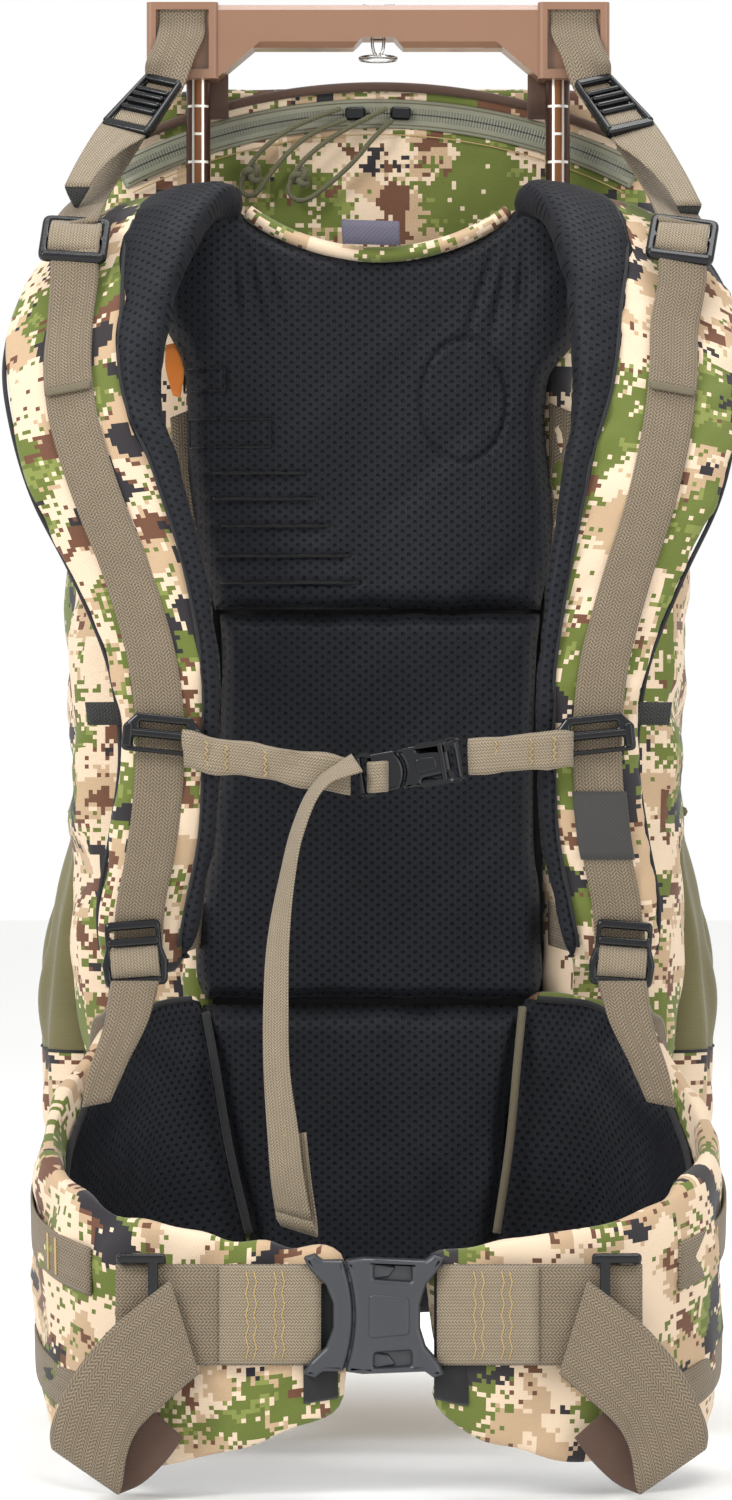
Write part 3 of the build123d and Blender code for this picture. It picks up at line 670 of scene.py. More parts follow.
def laid_in(place, half, stations):
    """Edge pairs of webbing in a buckle's frame, through (along, height) in millimetres."""
    pairs = [[place @ Vector(mm(x, along, height)) for x in (-half, half)] for along, height in stations]
    return np.array(pairs)


def subdivided(made, levels=1):
    """Adds a smooth subdivision."""
    smooth = made.modifiers.new("smooth", "SUBSURF")
    smooth.levels = smooth.render_levels = levels
    return made


RUMPLE_WAVES = 9


def rumple(made, size, depth, seed=0.0, keep=None):
    """Moves the surface in and out by smooth noise, so that fabric looks handled."""
    co = coords(made)
    normals = np.zeros(len(co) * 3)
    made.data.vertices.foreach_get("normal", normals)
    field = np.zeros(len(co))
    phases = np.random.default_rng(int(seed * 100) + 11)
    for _ in range(RUMPLE_WAVES):
        direction = unit(phases.normal(size=3))
        wave = 2 * np.pi / (size * phases.uniform(0.45, 1.5))
        field += np.sin(co @ direction * wave + phases.uniform(0, 6.28)
                        + 1.3 * np.sin(co @ direction[::-1] * wave * 0.6))
    field *= depth / 3.2
    if keep is not None:
        field *= keep
    set_coords(made, co + normals.reshape(-1, 3) * field[:, None])
    return made


def inflate(made, pinned, pressure, cap, frames=20, grow=0.0, stiff=12.0):
    """Blows the piece up as cloth with its pinned share of vertices held, then keeps the result."""
    before = coords(made)
    group = made.vertex_groups.new(name="pin")
    for weight in np.unique(np.round(pinned, 2)):
        if weight > 0:
            group.add([int(i) for i in np.nonzero(np.round(pinned, 2) == weight)[0]], float(weight),
                      "REPLACE")
    cloth = made.modifiers.new("cloth", "CLOTH")
    s = cloth.settings
    s.quality = 4
    s.mass = 0.25
    s.tension_stiffness = s.compression_stiffness = stiff
    s.shear_stiffness = stiff / 2
    s.bending_stiffness = 0.35
    s.air_damping = 3
    s.use_pressure = True
    s.uniform_pressure_force = pressure
    s.shrink_min = -grow
    s.effector_weights.gravity = 0
    s.vertex_group_mass = "pin"
    scene = bpy.context.scene
    scene.frame_end = frames
    cloth.point_cache.frame_end = frames
    for number in range(1, frames + 1):
        scene.frame_set(number)
    evaluated = made.evaluated_get(bpy.context.evaluated_depsgraph_get())
    after = np.zeros(len(before) * 3)
    evaluated.data.vertices.foreach_get("co", after)
    made.modifiers.remove(cloth)
    made.vertex_groups.clear()
    scene.frame_set(1)
    moved = np.nan_to_num(after.reshape(-1, 3) - before)
    length = np.linalg.norm(moved, axis=1, keepdims=True)
    moved *= np.minimum(1, cap / np.maximum(length, 1e-9))
    set_coords(made, before + moved)
    return made


# ---- zip pulls' cords ---------------------------------------------------------------------
CORD_Y = -26.6
CORD_ROUTES = {
    "left": [(-17, 715), (-30, 711), (-44, 702), (-57, 688), (-67, 672), (-76, 676), (-71, 689), (-59, 703),
             (-41, 714), (-20, 721)],
    "right": [(8, 715), (-2, 706), (-12, 693), (-26, 680), (-41, 669), (-50, 675), (-45, 688), (-33, 700),
              (-16, 711), (5, 721)],
}


def knot(name, centre, size, body, turn):
    """An overhand knot pulled small, as a rod along a trefoil."""
    t = np.linspace(0, 2 * np.pi, 60, endpoint=False)
    x = np.sin(t) + 1.6 * np.sin(2 * t)
    z = np.cos(t) - 1.6 * np.cos(2 * t)
    y = -np.sin(3 * t) * 0.9
    c, s = math.cos(turn), math.sin(turn)
    points = np.stack([x * c - z * s, y, x * s + z * c], 1) * size / 2.6 + centre
    return sweep(name, points, size * 0.42, body, CORD, closed=True)


for side, _ in SIDES:
    route = [mm(x, CORD_Y, z) for x, z in CORD_ROUTES[side]]
    curve = bpy.data.curves.new(f"pull_cord_{side}", "CURVE")
    curve.dimensions = "3D"
    spline = curve.splines.new("NURBS")
    spline.points.add(len(route) - 1)
    for point, place in zip(spline.points, route):
        point.co = (*place, 1)
    spline.order_u = 3
    spline.use_endpoint_u = True
    curve.bevel_depth = 0.0014
    curve.bevel_resolution = 3
    curve.use_fill_caps = True
    curve.materials.append(CORD)
    cord = bpy.data.objects.new(f"pull_cord_{side}", curve)
    bpy.context.scene.collection.objects.link(cord)
    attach(cord, f"zip_pull_{side}")
    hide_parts(f"zip_cord_{side}")
    low = np.array(route[4])
    tied = knot(f"pull_knot_{side}", (low + np.array(route[6])) / 2 + mm(1, 0, 5), 0.0046,
                f"zip_pull_{side}", 0.6)

# ---- crossbar, stays and hanger -----------------------------------------------------------
SLEEVE_ROWS, SLEEVE_SIDES, SLEEVE_THICK = 90, 28, 0.0016


def dress(node, material, bevel=0.0008):
    """Gives a CAD node its material, clean facets and softened edges."""
    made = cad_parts[node]
    made.data.materials.clear()
    made.data.materials.append(material)
    planar = made.modifiers.new("facets", "DECIMATE")
    planar.decimate_type = "DISSOLVE"
    planar.angle_limit = math.radians(2)
    edge = made.modifiers.new("edges", "BEVEL")
    edge.width = bevel
    edge.segments = 2
    edge.limit_method = "ANGLE"
    edge.angle_limit = math.radians(35)
    edge.harden_normals = False
    for face in made.data.polygons:
        face.use_smooth = False
    return made


dress("crossbar", COPPER, 0.0020)
for side, sign in SIDES:
    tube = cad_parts[f"stay_tube_{side}"]
    tube.data.materials.clear()
    tube.data.materials.append(TUBE)
    low, high = (np.array(v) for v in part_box(f"stay_sleeve_{side}"))
    levels = np.linspace(low[2], high[2], SLEEVE_ROWS)
    turns = np.linspace(0, 2 * np.pi, SLEEVE_SIDES, endpoint=False)
    up = levels[:, None]
    puff = 0.0008 * np.sin(up * 170 + 1.5 * np.sin(turns)) * np.cos(up * 61 + turns * 2)
    outside = (high[0] - low[0]) / 2 + puff
    inside = np.full_like(outside, (high[0] - low[0]) / 2 - SLEEVE_THICK)
    radii = np.concatenate([outside, inside[::-1]])
    heights = np.r_[levels, levels[::-1]][:, None]
    verts = np.stack(np.broadcast_arrays((low[0] + high[0]) / 2 + radii * np.cos(turns),
                                         (low[1] + high[1]) / 2 + radii * np.sin(turns), heights), -1)
    faces = tube_faces(2 * SLEEVE_ROWS, SLEEVE_SIDES, closed=True)
    uv = np.stack(np.broadcast_arrays(turns * 0.008 + 0.2 * sign, heights), -1).reshape(-1, 2)
    sleeve = solid(f"stay_sleeve_{side}_fabric", verts.reshape(-1, 3), faces, CAMO, "pack", uv)
    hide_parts(f"stay_sleeve_{side}")
dress("lower_crossmember", ALLOY)
dress("frame_sheet", SHEET, 0.0005)

bail = [(-8.9, 775.3), (-5.5, 775.2), (-3.4, 774.3), (-2.9, 771), (-2.9, 760), (-2.8, 752), (-1.9, 749),
        (0, 747.6), (1.9, 749), (2.8, 752), (2.9, 760), (2.9, 771), (3.4, 774.3), (5.5, 775.2), (8.9, 775.3)]
bail_line, _ = resample([mm(x, -40, z) for x, z in bail], 70)
sweep("hanger_bail", bail_line, 0.0009, "hanger", STEEL, sides=10)
turn = np.linspace(0, 2 * np.pi, 56, endpoint=False)
tilt = math.radians(15)
ring = np.stack([9.6 * np.cos(turn), -49.27 + 9.6 * np.sin(turn) * math.cos(tilt),
                 745.0 + 9.6 * np.sin(turn) * math.sin(tilt)], 1) / 1000
hanger_ring = sweep("hanger_ring", ring, 0.0011, "hanger", STEEL, sides=10, closed=True)
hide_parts("hanger")

# ---- webbing and buckles under the crossbar -----------------------------------------------
LIFTER_MID = (124.5, -72.0, 716.5)


def lifter_place(sign):
    """The load lifter buckle's frame: X across it, Y down its length, Z towards the wearer."""
    down = unit((0.5 * sign, -0.55, -0.67))
    across = unit((-0.9, -0.45 * sign, -0.25 * sign))
    return place_at(sided(LIFTER_MID, sign), across, np.cross(across, down)), down, across


for side, sign in SIDES:
    place, down, across = lifter_place(sign)
    upper = sided(LIFTER_MID, sign) - down * 0.0185
    half = across * 0.0122 * sign
    into = sided([((93.5, -55, 756), (119.5, -56, 754)), ((98, -60, 745), (124.5, -60, 742))], sign)
    wrap = sided([((92.6, -24.8, 744), (118, -24.8, 744)), ((92.6, -24.8, 762), (118, -24.8, 762)),
                  ((92.6, -25.6, 772), (118, -25.6, 772)), ((92.6, -30, 774.4), (118, -30, 774.4)),
                  ((92.6, -45, 774.4), (118, -45, 774.4)), ((92.6, -50, 772), (118, -50, 772)),
                  ((92.6, -51, 764), (118, -51, 764))], sign)
    reach = np.stack([upper - half, upper + half])
    if np.linalg.norm(reach[0] - into[-1][0]) > np.linalg.norm(reach[1] - into[-1][0]):
        reach = reach[::-1]
    under = reach + down * 0.016
    loop = band(f"lifter_anchor_{side}", np.concatenate([wrap, into, [reach, under]]), "mast", flip=-sign,
                count=64)
    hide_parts(f"lifter_loop_{side}")

    body_out = rounded([(-11, -22), (11, -22), (11.6, -14), (12.6, 0), (14.5, 14), (14, 22), (-14, 22),
                        (-14.5, 14), (-12.6, 0), (-11.6, -14)], 3.0)
    windows = [rect(17, 4.4, 1.2, (0, -15.5)), rect(18, 4.0, 1.2, (0, -3.5)), rect(20, 8.0, 1.2, (0, 12.0))]
    parts = [(body_out, windows, 5.0, 1.5, 0.0)]
    for at, wide, size, lift in ((-20, 21, 4.6, 2.2), (-9.8, 20, 3.2, 2.6), (-4.8, 19, 3.2, 3.2),
                                 (0.4, 20, 3.4, 3.0), (5.8, 21, 3.4, 2.6), (19.5, 28, 5.4, 1.8)):
        parts.append((rect(wide, size, 1.8, (0, at)), [], 3.6, 1.3, lift))
    for edge in (-1, 1):
        rail = rounded([(edge * 8.8, -21), (edge * 11.6, -21), (edge * 14.8, 20), (edge * 11.2, 20)], 1.5)
        parts.append((rail, [], 4.6, 1.5, 1.8))
    moulding(f"lifter_buckle_{side}", parts, place, "mast")

    lower = sided(LIFTER_MID, sign) + down * 0.016
    tongue = np.stack([lower - across * 0.0118, lower + across * 0.0118])
    patch = np.stack([tongue - down * 0.019, tongue + down * 0.001]) + np.cross(across, down) * 0.0010
    band(f"lifter_inlay_{side}", patch, "mast", LIGHT_WEB, flip=1.0, count=8)

    tail_edges = sided(
        [((122, -82, 704), (146, -74, 710)), ((123, -90, 699), (150, -84, 703)),
         ((134, -99, 691), (155, -95, 693)), ((145, -110, 680), (160, -107, 682)),
         ((151.5, -120, 669), (165, -118, 669.5))], sign)
    if side == "right":
        tail_edges += np.linspace(0, 1, 5)[:, None, None] * mm(5, 0, -10)
    # The tail's folded-back end is drawn in the dark webbing, unlike the tail's light one: painted shade on
    # the fold's underside.
    shaded_fold_edges = tail_edges[-1] + sided([((0, 1.5, -0.5), (0, 1.5, -0.5)), ((3, 5, -5), (-2, 5, -5.5)),
                                         ((6.5, 9, -10), (-5, 9, -10))], sign)
    fold = band(f"lifter_shaded_fold_{side}_webbing", shaded_fold_edges, None, DARK_WEB, flip=sign)
    tail = band(f"lifter_tail_{side}_webbing", tail_edges, None, LIGHT_WEB, thick=WEB, flip=sign)
    link_edges = sided([((147, -126, 650), (172, -126, 647)), ((144, -112, 660), (168, -110, 656)),
                        ((139, -92, 673), (160, -90, 667)), ((130, -76, 690), (150, -74, 683)),
                        ((122, -67, 705), (141, -65, 698))], sign)
    link = band(f"lifter_link_{side}_webbing", link_edges, None, COYOTE, flip=sign)
    for piece, node in ((tail, f"lifter_tail_{side}"), (link, f"lifter_webbing_{side}")):
        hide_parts(node)
    start, end = mm(sign * 160, -105, 660), mm(sign * 140, -80, 712)
    for piece in (tail, fold, link):
        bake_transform(piece)

    low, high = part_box(f"bag_hanger_{side}")
    y = (low[1] + high[1]) / 2
    drop = np.array([((low[0], -0.022, 0.716), (high[0], -0.022, 0.716)),
                     ((low[0], y, 0.724), (high[0], y, 0.724)), ((low[0], y, 0.738), (high[0], y, 0.738)),
                     ((low[0], y, high[2]), (high[0], y, high[2]))])
    hung = band(f"bag_hanger_{side}_webbing", drop, None, BROWN, count=28)
    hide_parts(f"bag_hanger_{side}")
    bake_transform(hung)

# ---- shoulder straps ----------------------------------------------------------------------
STRAP_EDGES = [
    ((76, -59, 660), (126, -59, 655)), ((76, -75, 667), (140, -75, 656)), ((86, -95, 662), (166, -94, 640)),
    ((98, -117, 642), (183, -114, 612)), ((110, -137, 606), (189, -132, 580)),
    ((116, -152, 560), (186, -150, 546)), ((104, -164, 512), (176, -162, 503)),
    ((92, -170, 466), (156, -168, 460)), ((85, -172, 410), (137, -172, 409)),
    ((85, -171, 370), (133, -171, 370)), ((87, -166, 330), (138, -166, 330)),
    ((95, -157, 290), (145, -157, 290)), ((101, -149, 258), (143, -149, 258)),
]
LIP = [46, 48, 42, 28, 20.5, 13, 10, 8, 6, 6, 6, 6, 6]


def padded_strip(name, rows, at, thick, flip, body, materials, crown, round_at, power=3.4, shift=(0.0, 0.0),
                 wrap=2.0):
    """A foam strap: a rounded section swept along rows of edge pairs.

    materials are outer and inner; the outer one also covers the inner side from wrap half turns on.
    """
    middle, across, normal, width = strip_frames(rows, flip)
    angle = np.linspace(0, 2 * np.pi, 48, endpoint=False)
    c, s = np.cos(angle), np.sin(angle)
    u = np.sign(c) * np.abs(c) ** (2 / power)
    h = np.sign(s) * np.abs(s) ** (2 / power) * thick / 2 + crown * (1 - u**2) * (s > 0)
    ends = np.clip(np.minimum(at, at[-1] - at) / round_at, 0, 1)
    taper = np.sqrt(1 - (1 - ends) ** 2) * 0.75 + 0.25
    inset = (1 - taper) * 0.5 * thick
    reach = u[None, :] * (width / 2 - inset)[:, None]
    verts = (middle[:, None] + across[:, None] * reach[:, :, None]
             + normal[:, None] * (h[None, :] * taper[:, None])[:, :, None])
    uv = np.stack(np.broadcast_arrays(reach + shift[0], at[:, None] + shift[1]), -1)
    n, m = verts.shape[:2]
    outer = [angle[f % m] < np.pi - 0.01 or angle[f % m] > np.pi * wrap for f in range((n - 1) * m)]
    picks = [0 if is_outer else 1 for is_outer in outer] + [0, 0]
    made = solid(name, verts.reshape(-1, 3), tube_faces(n, m), list(materials), body, uv.reshape(-1, 2),
                 picks)
    return made, (middle, across, normal, width)


straps = {}
for side, sign in SIDES:
    rows, at = resample(sided(STRAP_EDGES, sign), 120)
    if sign < 0:
        bulge = np.exp(-((np.arange(120) / 119 - 0.3) / 0.16) ** 2)
        rows[:, 1, 0] -= 0.006 * bulge
    else:
        bulge = np.exp(-((np.arange(120) / 119 - 0.35) / 0.14) ** 2)
        rows[:, 0, 0] -= 0.012 * bulge
    foam, frames = padded_strip(f"shoulder_strap_{side}_pad", rows, at, 0.0132, sign, "pack", (CAMO, MESH),
                                0.0022, 0.02,
                               shift=(0.3 * sign, 0.11 * sign))
    rumple(foam, 0.038, 0.0013, seed=1.5 + sign, keep=np.repeat(np.clip((at - 0.01) / 0.04, 0, 1), 48))
    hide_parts(f"shoulder_strap_{side}")
    straps[side] = (rows, at, frames)
    middle, across, normal, width = frames
    share = np.linspace(0, 1, 120)
    station = np.interp(share, np.linspace(0, 1, len(LIP)), LIP) / 1000
    inner = rows[:, 0]
    lip_rows = np.stack([inner - across * 0.003, inner + across * station[:, None]], 1)
    lip, _ = padded_strip(f"strap_lip_{side}", lip_rows[:-2], at[:-2], 0.0206, sign, "pack", (MESH, MESH),
                          0.001, 0.018, power=3.0, shift=(0.1, 0.0))
    rumple(lip, 0.035, 0.0007, seed=4.2 + sign)
    seam = inner + across * station[:, None] * 0.85 + normal * 0.0087
    sweep(f"strap_seam_{side}", seam[5:-4], 0.0012, "pack", PIPING, sides=6)
    sweep(f"strap_piping_{side}", (rows[:, 1] + across * 0.0003)[3:-3], 0.0013, "pack", PIPING, sides=6)

    def along_strap(start, stop, lift, share=0.57, half=0.0127, count=14):
        """Edge pairs of webbing laid on the strap between two distances from its top."""
        where = np.linspace(start, stop, count)
        pick = np.stack([[np.interp(where, at, frames[k][:, j]) for j in range(3)] for k in (0, 1, 2)])
        wide = np.interp(where, at, width)
        centre = pick[0].T + pick[1].T * ((share - 0.5) * wide)[:, None] + pick[2].T * lift
        return np.stack([centre - pick[1].T * half, centre + pick[1].T * half], 1)

    top = sided([((146, -134, 634), (171, -134, 632)), ((146, -137, 622), (171, -137, 620))], sign)
    z_of = frames[0][:, 2]
    begin = float(np.interp(-0.588, -z_of, at))
    stop = float(np.interp(-0.270, -z_of, at))
    lay = np.concatenate([top, along_strap(begin, stop, 0.0100)])
    main = band(f"shoulder_webbing_{side}_band", lay, "pack", COYOTE, flip=sign)
    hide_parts(f"shoulder_webbing_{side}")
    fold_at = float(np.interp(-0.556, -z_of, at))
    upper = np.concatenate([top + normal[30] * 0.0017, along_strap(begin, fold_at, 0.0117, count=5)])
    band(f"shoulder_webbing_{side}_double", upper, "pack", COYOTE, flip=sign, shift=0.4)
    tack = along_strap(fold_at - 0.003, fold_at + 0.001, 0.0128, half=0.0118, count=3)
    band(f"strap_tack_{side}", tack, "pack", BINDING, thick=0.0007, flip=sign)
    if side == "right":
        first, last = (float(np.interp(-z, -z_of, at)) for z in (0.353, 0.319))
        band("strap_patch", along_strap(first, last, 0.0116, half=0.0140, count=5), "pack", PATCH,
             thick=0.0012, flip=sign)
    tag_at = float(np.interp(-0.392, -z_of, at))
    tag = along_strap(tag_at - 0.006, tag_at + 0.006, 0.0, share=0.97, half=0.010, count=4)
    band(f"strap_tag_{side}", tag + np.array([sign * 0.008, 0, 0]), "pack", DARK_WEB, thick=0.004, flip=sign)

    # triglide: a rectangular ring with a middle bar, the webbing showing in its window
    glide = place_at(sided((159, -129, 640), sign), (1, 0, 0.10 * sign if sign < 0 else -0.2),
                     (0, -0.82, 0.57))
    windows = [rect(27, 9, 1.5, (0, 6.5)), rect(27, 8.2, 1.5, (0, -5.0))]
    moulding(f"triglide_{side}", [(rect(36, 30, 5.0), windows, 4.0, 1.4, 0.0),
                                  (rect(34, 5.4, 2.4, (0, -11.8)), [], 5.0, 1.9, 0.6)], glide, "pack")
    laid = laid_in(glide, 13.5, ((-9.0, 1.2), (-2.0, 3.4), (5.0, 3.4), (11.0, 1.0)))
    band(f"triglide_{side}_webbing", laid, "pack", LIGHT_WEB, flip=1.0)

    # ladder lock on the strap's lower end, with the webbing through it, down to the bag and hanging free
    lock = place_at(sided((126, -170, 268), sign), (1, 0, -0.08 * sign), (0, -1, 0.06))
    lock_out = rounded([(-16, -17), (16, -17), (17, -5), (14.5, 3), (14.5, 17), (-14.5, 17), (-14.5, 3),
                        (-17, -5)], 3.5)
    windows = [rect(25, 7.5, 1.4, (0, -10)), rect(24, 4.4, 1.2, (0, 1.5)), rect(24, 4.2, 1.2, (0, 10.2))]
    parts = [(lock_out, windows, 4.6, 1.5, 0.0)]
    for at_y, size, lift in ((-14.8, 4.6, 1.2), (5.9, 4.4, 1.6), (-3.4, 4.6, 1.8)):
        parts.append((rect(27, size, 1.9, (0, at_y)), [], 3.6, 1.4, lift))
    moulding(f"ladder_lock_{side}", parts, lock, "pack")
    laid = laid_in(lock, 12.5, ((-12.0, 1.5), (-4.0, 3.8), (3.0, 1.2)))
    band(f"ladder_lock_{side}_webbing", laid, "pack", LIGHT_WEB)
    lower = sided([((113, -169, 256), (139, -169, 256)), ((115, -160, 246), (140, -159, 246)),
                   ((120, -132, 238), (144, -128, 236)), ((131, -94, 231), (152, -82, 229)),
                   ((143, -52, 208), (157, -34, 206))], sign)
    lower_band = band(f"lower_webbing_{side}_band", lower, "pack", COYOTE, flip=sign)
    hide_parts(f"lower_webbing_{side}")
    hang = sided([((113, -174, 254), (138, -174, 254)), ((118, -177, 235), (141, -177, 233)),
                  ((129, -178, 212), (149, -178, 208)), ((138, -176, 192), (153, -176, 189))], sign)
    band(f"strap_tail_{side}", hang, "pack", COYOTE, flip=sign)

# ---- sternum strap ------------------------------------------------------------------------
THREAD_RADIUS = 0.00035


def webbing_pair(name, polygon, y, body, material, swell=0.0012):
    """A doubled band between two upright ends: polygon is outer top, outer low, inner low, inner top."""
    a, b, c, d = [mm(x, y, z) for x, z in polygon]
    out = np.array([0, -swell, 0])
    edges = np.array([(b, a), ((2 * b + c) / 3 + out, (2 * a + d) / 3 + out),
                      ((b + 2 * c) / 3 + out, (a + 2 * d) / 3 + out), (c, d)])
    flip = -1.0 if polygon[0][0] > polygon[2][0] else 1.0
    return band(name, edges, body, material, thick=2 * WEB, flip=flip)


def stitches(name, at, height, body, y):
    """A zigzag bar-tack standing upright at (x, z) millimetres."""
    steps = 9
    z = np.linspace(-height / 2, height / 2, steps)
    x = np.where(np.arange(steps) % 2, 0.7, -0.7)
    points = np.stack([at[0] + x, np.full(steps, y), at[1] + z], 1) / 1000
    return sweep(name, points, THREAD_RADIUS, body, THREAD, sides=5)


for side, sign in SIDES:
    slide_at = place_at(sided((111, -186.6, 380), sign), (1, 0, 0.1 * sign), (0, -1, 0))
    slide_out = rounded([(-20.5, -9), (20.5, -9), (20.5, 4), (14, 11), (-14, 11), (-20.5, 4)], 3.0)
    parts = [(slide_out, [rect(29, 5.0, 1.2, (0, -4)), rect(24, 3.4, 1.0, (0, 5))], 4.6, 1.5, 0.0),
             (rect(36, 3.6, 1.6, (0, 0.6)), [], 3.6, 1.3, 1.3)]
    for hook in (-17.5, 17.5):
        parts.append((rect(5.0, 13, 2.0, (hook, -1)), [], 4.2, 1.6, 1.2))
    moulding(f"sternum_slider_{side}", parts, slide_at, "sternum")

left_web = webbing_pair("sternum_webbing_left_band", [(-100, 383), (-100, 364), (-14.5, 350), (-14.5, 369)],
                        -190, "sternum_plug", LIGHT_WEB)
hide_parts("sternum_webbing_left")
right_web = webbing_pair("sternum_webbing_right_band", [(100, 383), (100, 364), (46, 360), (46, 379)], -190,
                         "sternum", LIGHT_WEB)
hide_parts("sternum_webbing_right")
rumple(left_web, 0.022, 0.0011, 14.0)
rumple(right_web, 0.022, 0.0011, 15.0)
for sign, body, places in ((-1, "sternum_plug", ((-88, 371), (-78, 369), (-58, 366))),
                           (1, "sternum", ((60, 371), (78, 372), (90, 373)))):
    for index, place in enumerate(places):
        stitches(f"sternum_tack_{'left' if sign < 0 else 'right'}_{index}", place, 13, body, -193.4)


def buckle_end(sign, a, h, depth):
    """One end of a buckle, from its upper horn to its lower one, drawn in by depth at its middle."""
    waist = [(0.94 - depth * pull, up)
             for pull, up in ((0.1, 0.74), (0.72, 0.5), (1, 0.2), (1, -0.2), (0.72, -0.5), (0.1, -0.74))]
    return [(sign * a * along, h * up)
            for along, up in ((0.72, 0.9), (0.84, 1), (1, 0.94), *waist, (1, -0.94), (0.84, -1),
                              (0.72, -0.9))]


def buckle_outlines(length, height, seam, depth):
    """Plan outlines of a side-release buckle's plug and socket, in millimetres."""
    a, h = length / 2, height / 2
    t = np.linspace(1, -1, 13)
    bow = np.stack([seam + 0.07 * length * (1 - t**2) - 0.02 * length, t * h * 0.9], 1)
    plug = np.concatenate([bow[::-1], buckle_end(-1, a, h, depth)])
    shoulder = seam + 0.12 * length
    socket = np.concatenate([bow + (0.9, 0), [(shoulder, -h * 0.94)], buckle_end(1, a, h, depth * 0.8)[::-1],
                             [(shoulder, h * 0.94)]])
    return plug, socket


def release_buckle(prefix, centre, x_dir, size, seam, bodies, material, web_half, depth=0.0):
    """A side-release buckle in two halves, with windows, arms, ribs and raised panels.

    depth draws its ends in between their horns; such a buckle has no webbing slots in its face.
    """
    length, height, thick = size
    plug_out, socket_out = buckle_outlines(length, height, seam, depth)
    place = place_at(mm(*centre), x_dir, (0, -1, 0))
    a, h = length / 2, height / 2

    def past_seam(share):
        """The seam's x, moved on by a share of the length."""
        return seam + length * share

    slots = [rect(length * 0.055, web_half * 2, 0.6, (end * a * 0.80, 0)) for end in (-1, 1)]
    plug = [(rounded(plug_out, 1.2, 3), [] if depth else slots[:1], thick * 0.86, thick * 0.2, 0.0)]
    for side in (-1, 1):
        arm = rounded([(seam, side * h * 0.50), (past_seam(0.30), side * h * 0.62),
                       (past_seam(0.36), side * h * 0.80), (past_seam(0.22), side * h * 0.86),
                       (seam, side * h * 0.74)], 1.4)
        plug.append((arm, [], thick * 0.5, thick * 0.12, 0.0))
    insert = rect(length * 0.56, height * 0.85, 1.0, (past_seam(0.20), 0))
    plug.append((insert, [], thick * 0.24, thick * 0.06, 0.0))
    tongue = rect(length * 0.38, height * 0.12, 1.0, (past_seam(0.18), 0))
    plug.append((tongue, [], thick * 0.4, thick * 0.1, 0.0))
    holes = []
    for side in (-1, 1):
        holes.append(rounded([(past_seam(0.20), side * h * 0.60), (past_seam(0.46), side * h * 0.56),
                              (past_seam(0.46), side * h * 0.80), (past_seam(0.20), side * h * 0.84)], 1.5))
    panel = rounded([(past_seam(0.16), -h * 0.36), (a * 0.50, -h * 0.30), (a * 0.50, h * 0.30),
                     (past_seam(0.16), h * 0.36)], 2.5)
    raised = [(panel, [], thick * 0.3, thick * 0.1, thick * 0.42)]
    if not depth:
        rail = rect(length * 0.05, height * 0.8, 0.9, (-a * 0.92, 0))
        plug.append((rail, [], thick * 0.5, thick * 0.14, thick * 0.25))
        holes += slots[1:]
        rib = rect(length * 0.05, height * 0.84, 0.9, (a * 0.60, 0))
        raised.append((rib, [], thick * 0.3, thick * 0.1, thick * 0.42))
    socket = [(rounded(socket_out, 1.2, 3), holes, thick, thick * 0.22, 0.0), *raised]
    moulding(f"{prefix}_buckle_male", plug, place, bodies[0], material)
    moulding(f"{prefix}_buckle_female", socket, place, bodies[1], material)


lean = math.radians(10)
release_buckle("sternum", (16, -190, 364), (math.cos(lean), 0, math.sin(lean)), (56, 23, 9), -6.0,
               ("sternum_plug", "sternum"), ACETAL, 9.8)
rung = mm([((-5.5, -194, 351), (-5.5, -194, 367)), ((-3, -197, 351), (-3, -197, 367)),
           ((2, -197, 351.5), (2, -197, 367.5)), ((4.5, -194, 351.5), (4.5, -194, 367.5))])
band("sternum_rung", rung, "sternum_plug", LIGHT_WEB, flip=-1.0)

TAIL = [((-14, -193, 371), (-8, -204, 362)), ((-31, -194, 358.5), (-25.5, -206.5, 356)),
        ((-44.5, -195, 332.5), (-39, -208, 329)), ((-50, -196, 310.5), (-42.5, -207, 310.5)),
        ((-57, -197, 275), (-45.5, -205.5, 277)), ((-59, -199, 243), (-46, -204, 243)),
        ((-59, -199, 214), (-45.5, -204, 213)), ((-57, -199, 178), (-41, -205, 179)),
        ((-55, -200, 152), (-38, -206, 155)), ((-53, -200, 138), (-34, -206, 133))]
tail = band("sternum_tail_band", mm(TAIL), "sternum_plug", LIGHT_WEB, thick=WEB, flip=-1.0)
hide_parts("sternum_tail")
loop_back = mm([((-53, -200, 138), (-34, -206, 133)), ((-51, -199, 131), (-31, -203, 125)),
                ((-47, -194, 131), (-31, -199, 128)), ((-46, -193, 150), (-34, -199, 150)),
                ((-47, -195, 176), (-37, -201, 178))])
band("sternum_tail_loop", loop_back, "sternum_plug", LIGHT_WEB, flip=-1.0, shift=0.25)
stitches("sternum_tail_tack", (-47.5, 179), 10, "sternum_plug", -203.0)

# ---- pads on the frame --------------------------------------------------------------------
def curve_of(points):
    """Interpolates a smooth line y(x) through points listed with x increasing."""
    xs, ys = np.array(points, float).T
    slope = np.gradient(ys, xs)

    def found(x):
        x = np.clip(x, xs[0], xs[-1])
        i = np.clip(np.searchsorted(xs, x, side="right") - 1, 0, len(xs) - 2)
        span = xs[i + 1] - xs[i]
        return hermite((x - xs[i]) / span, span, ys[i], ys[i + 1], slope[i], slope[i + 1])
    return found


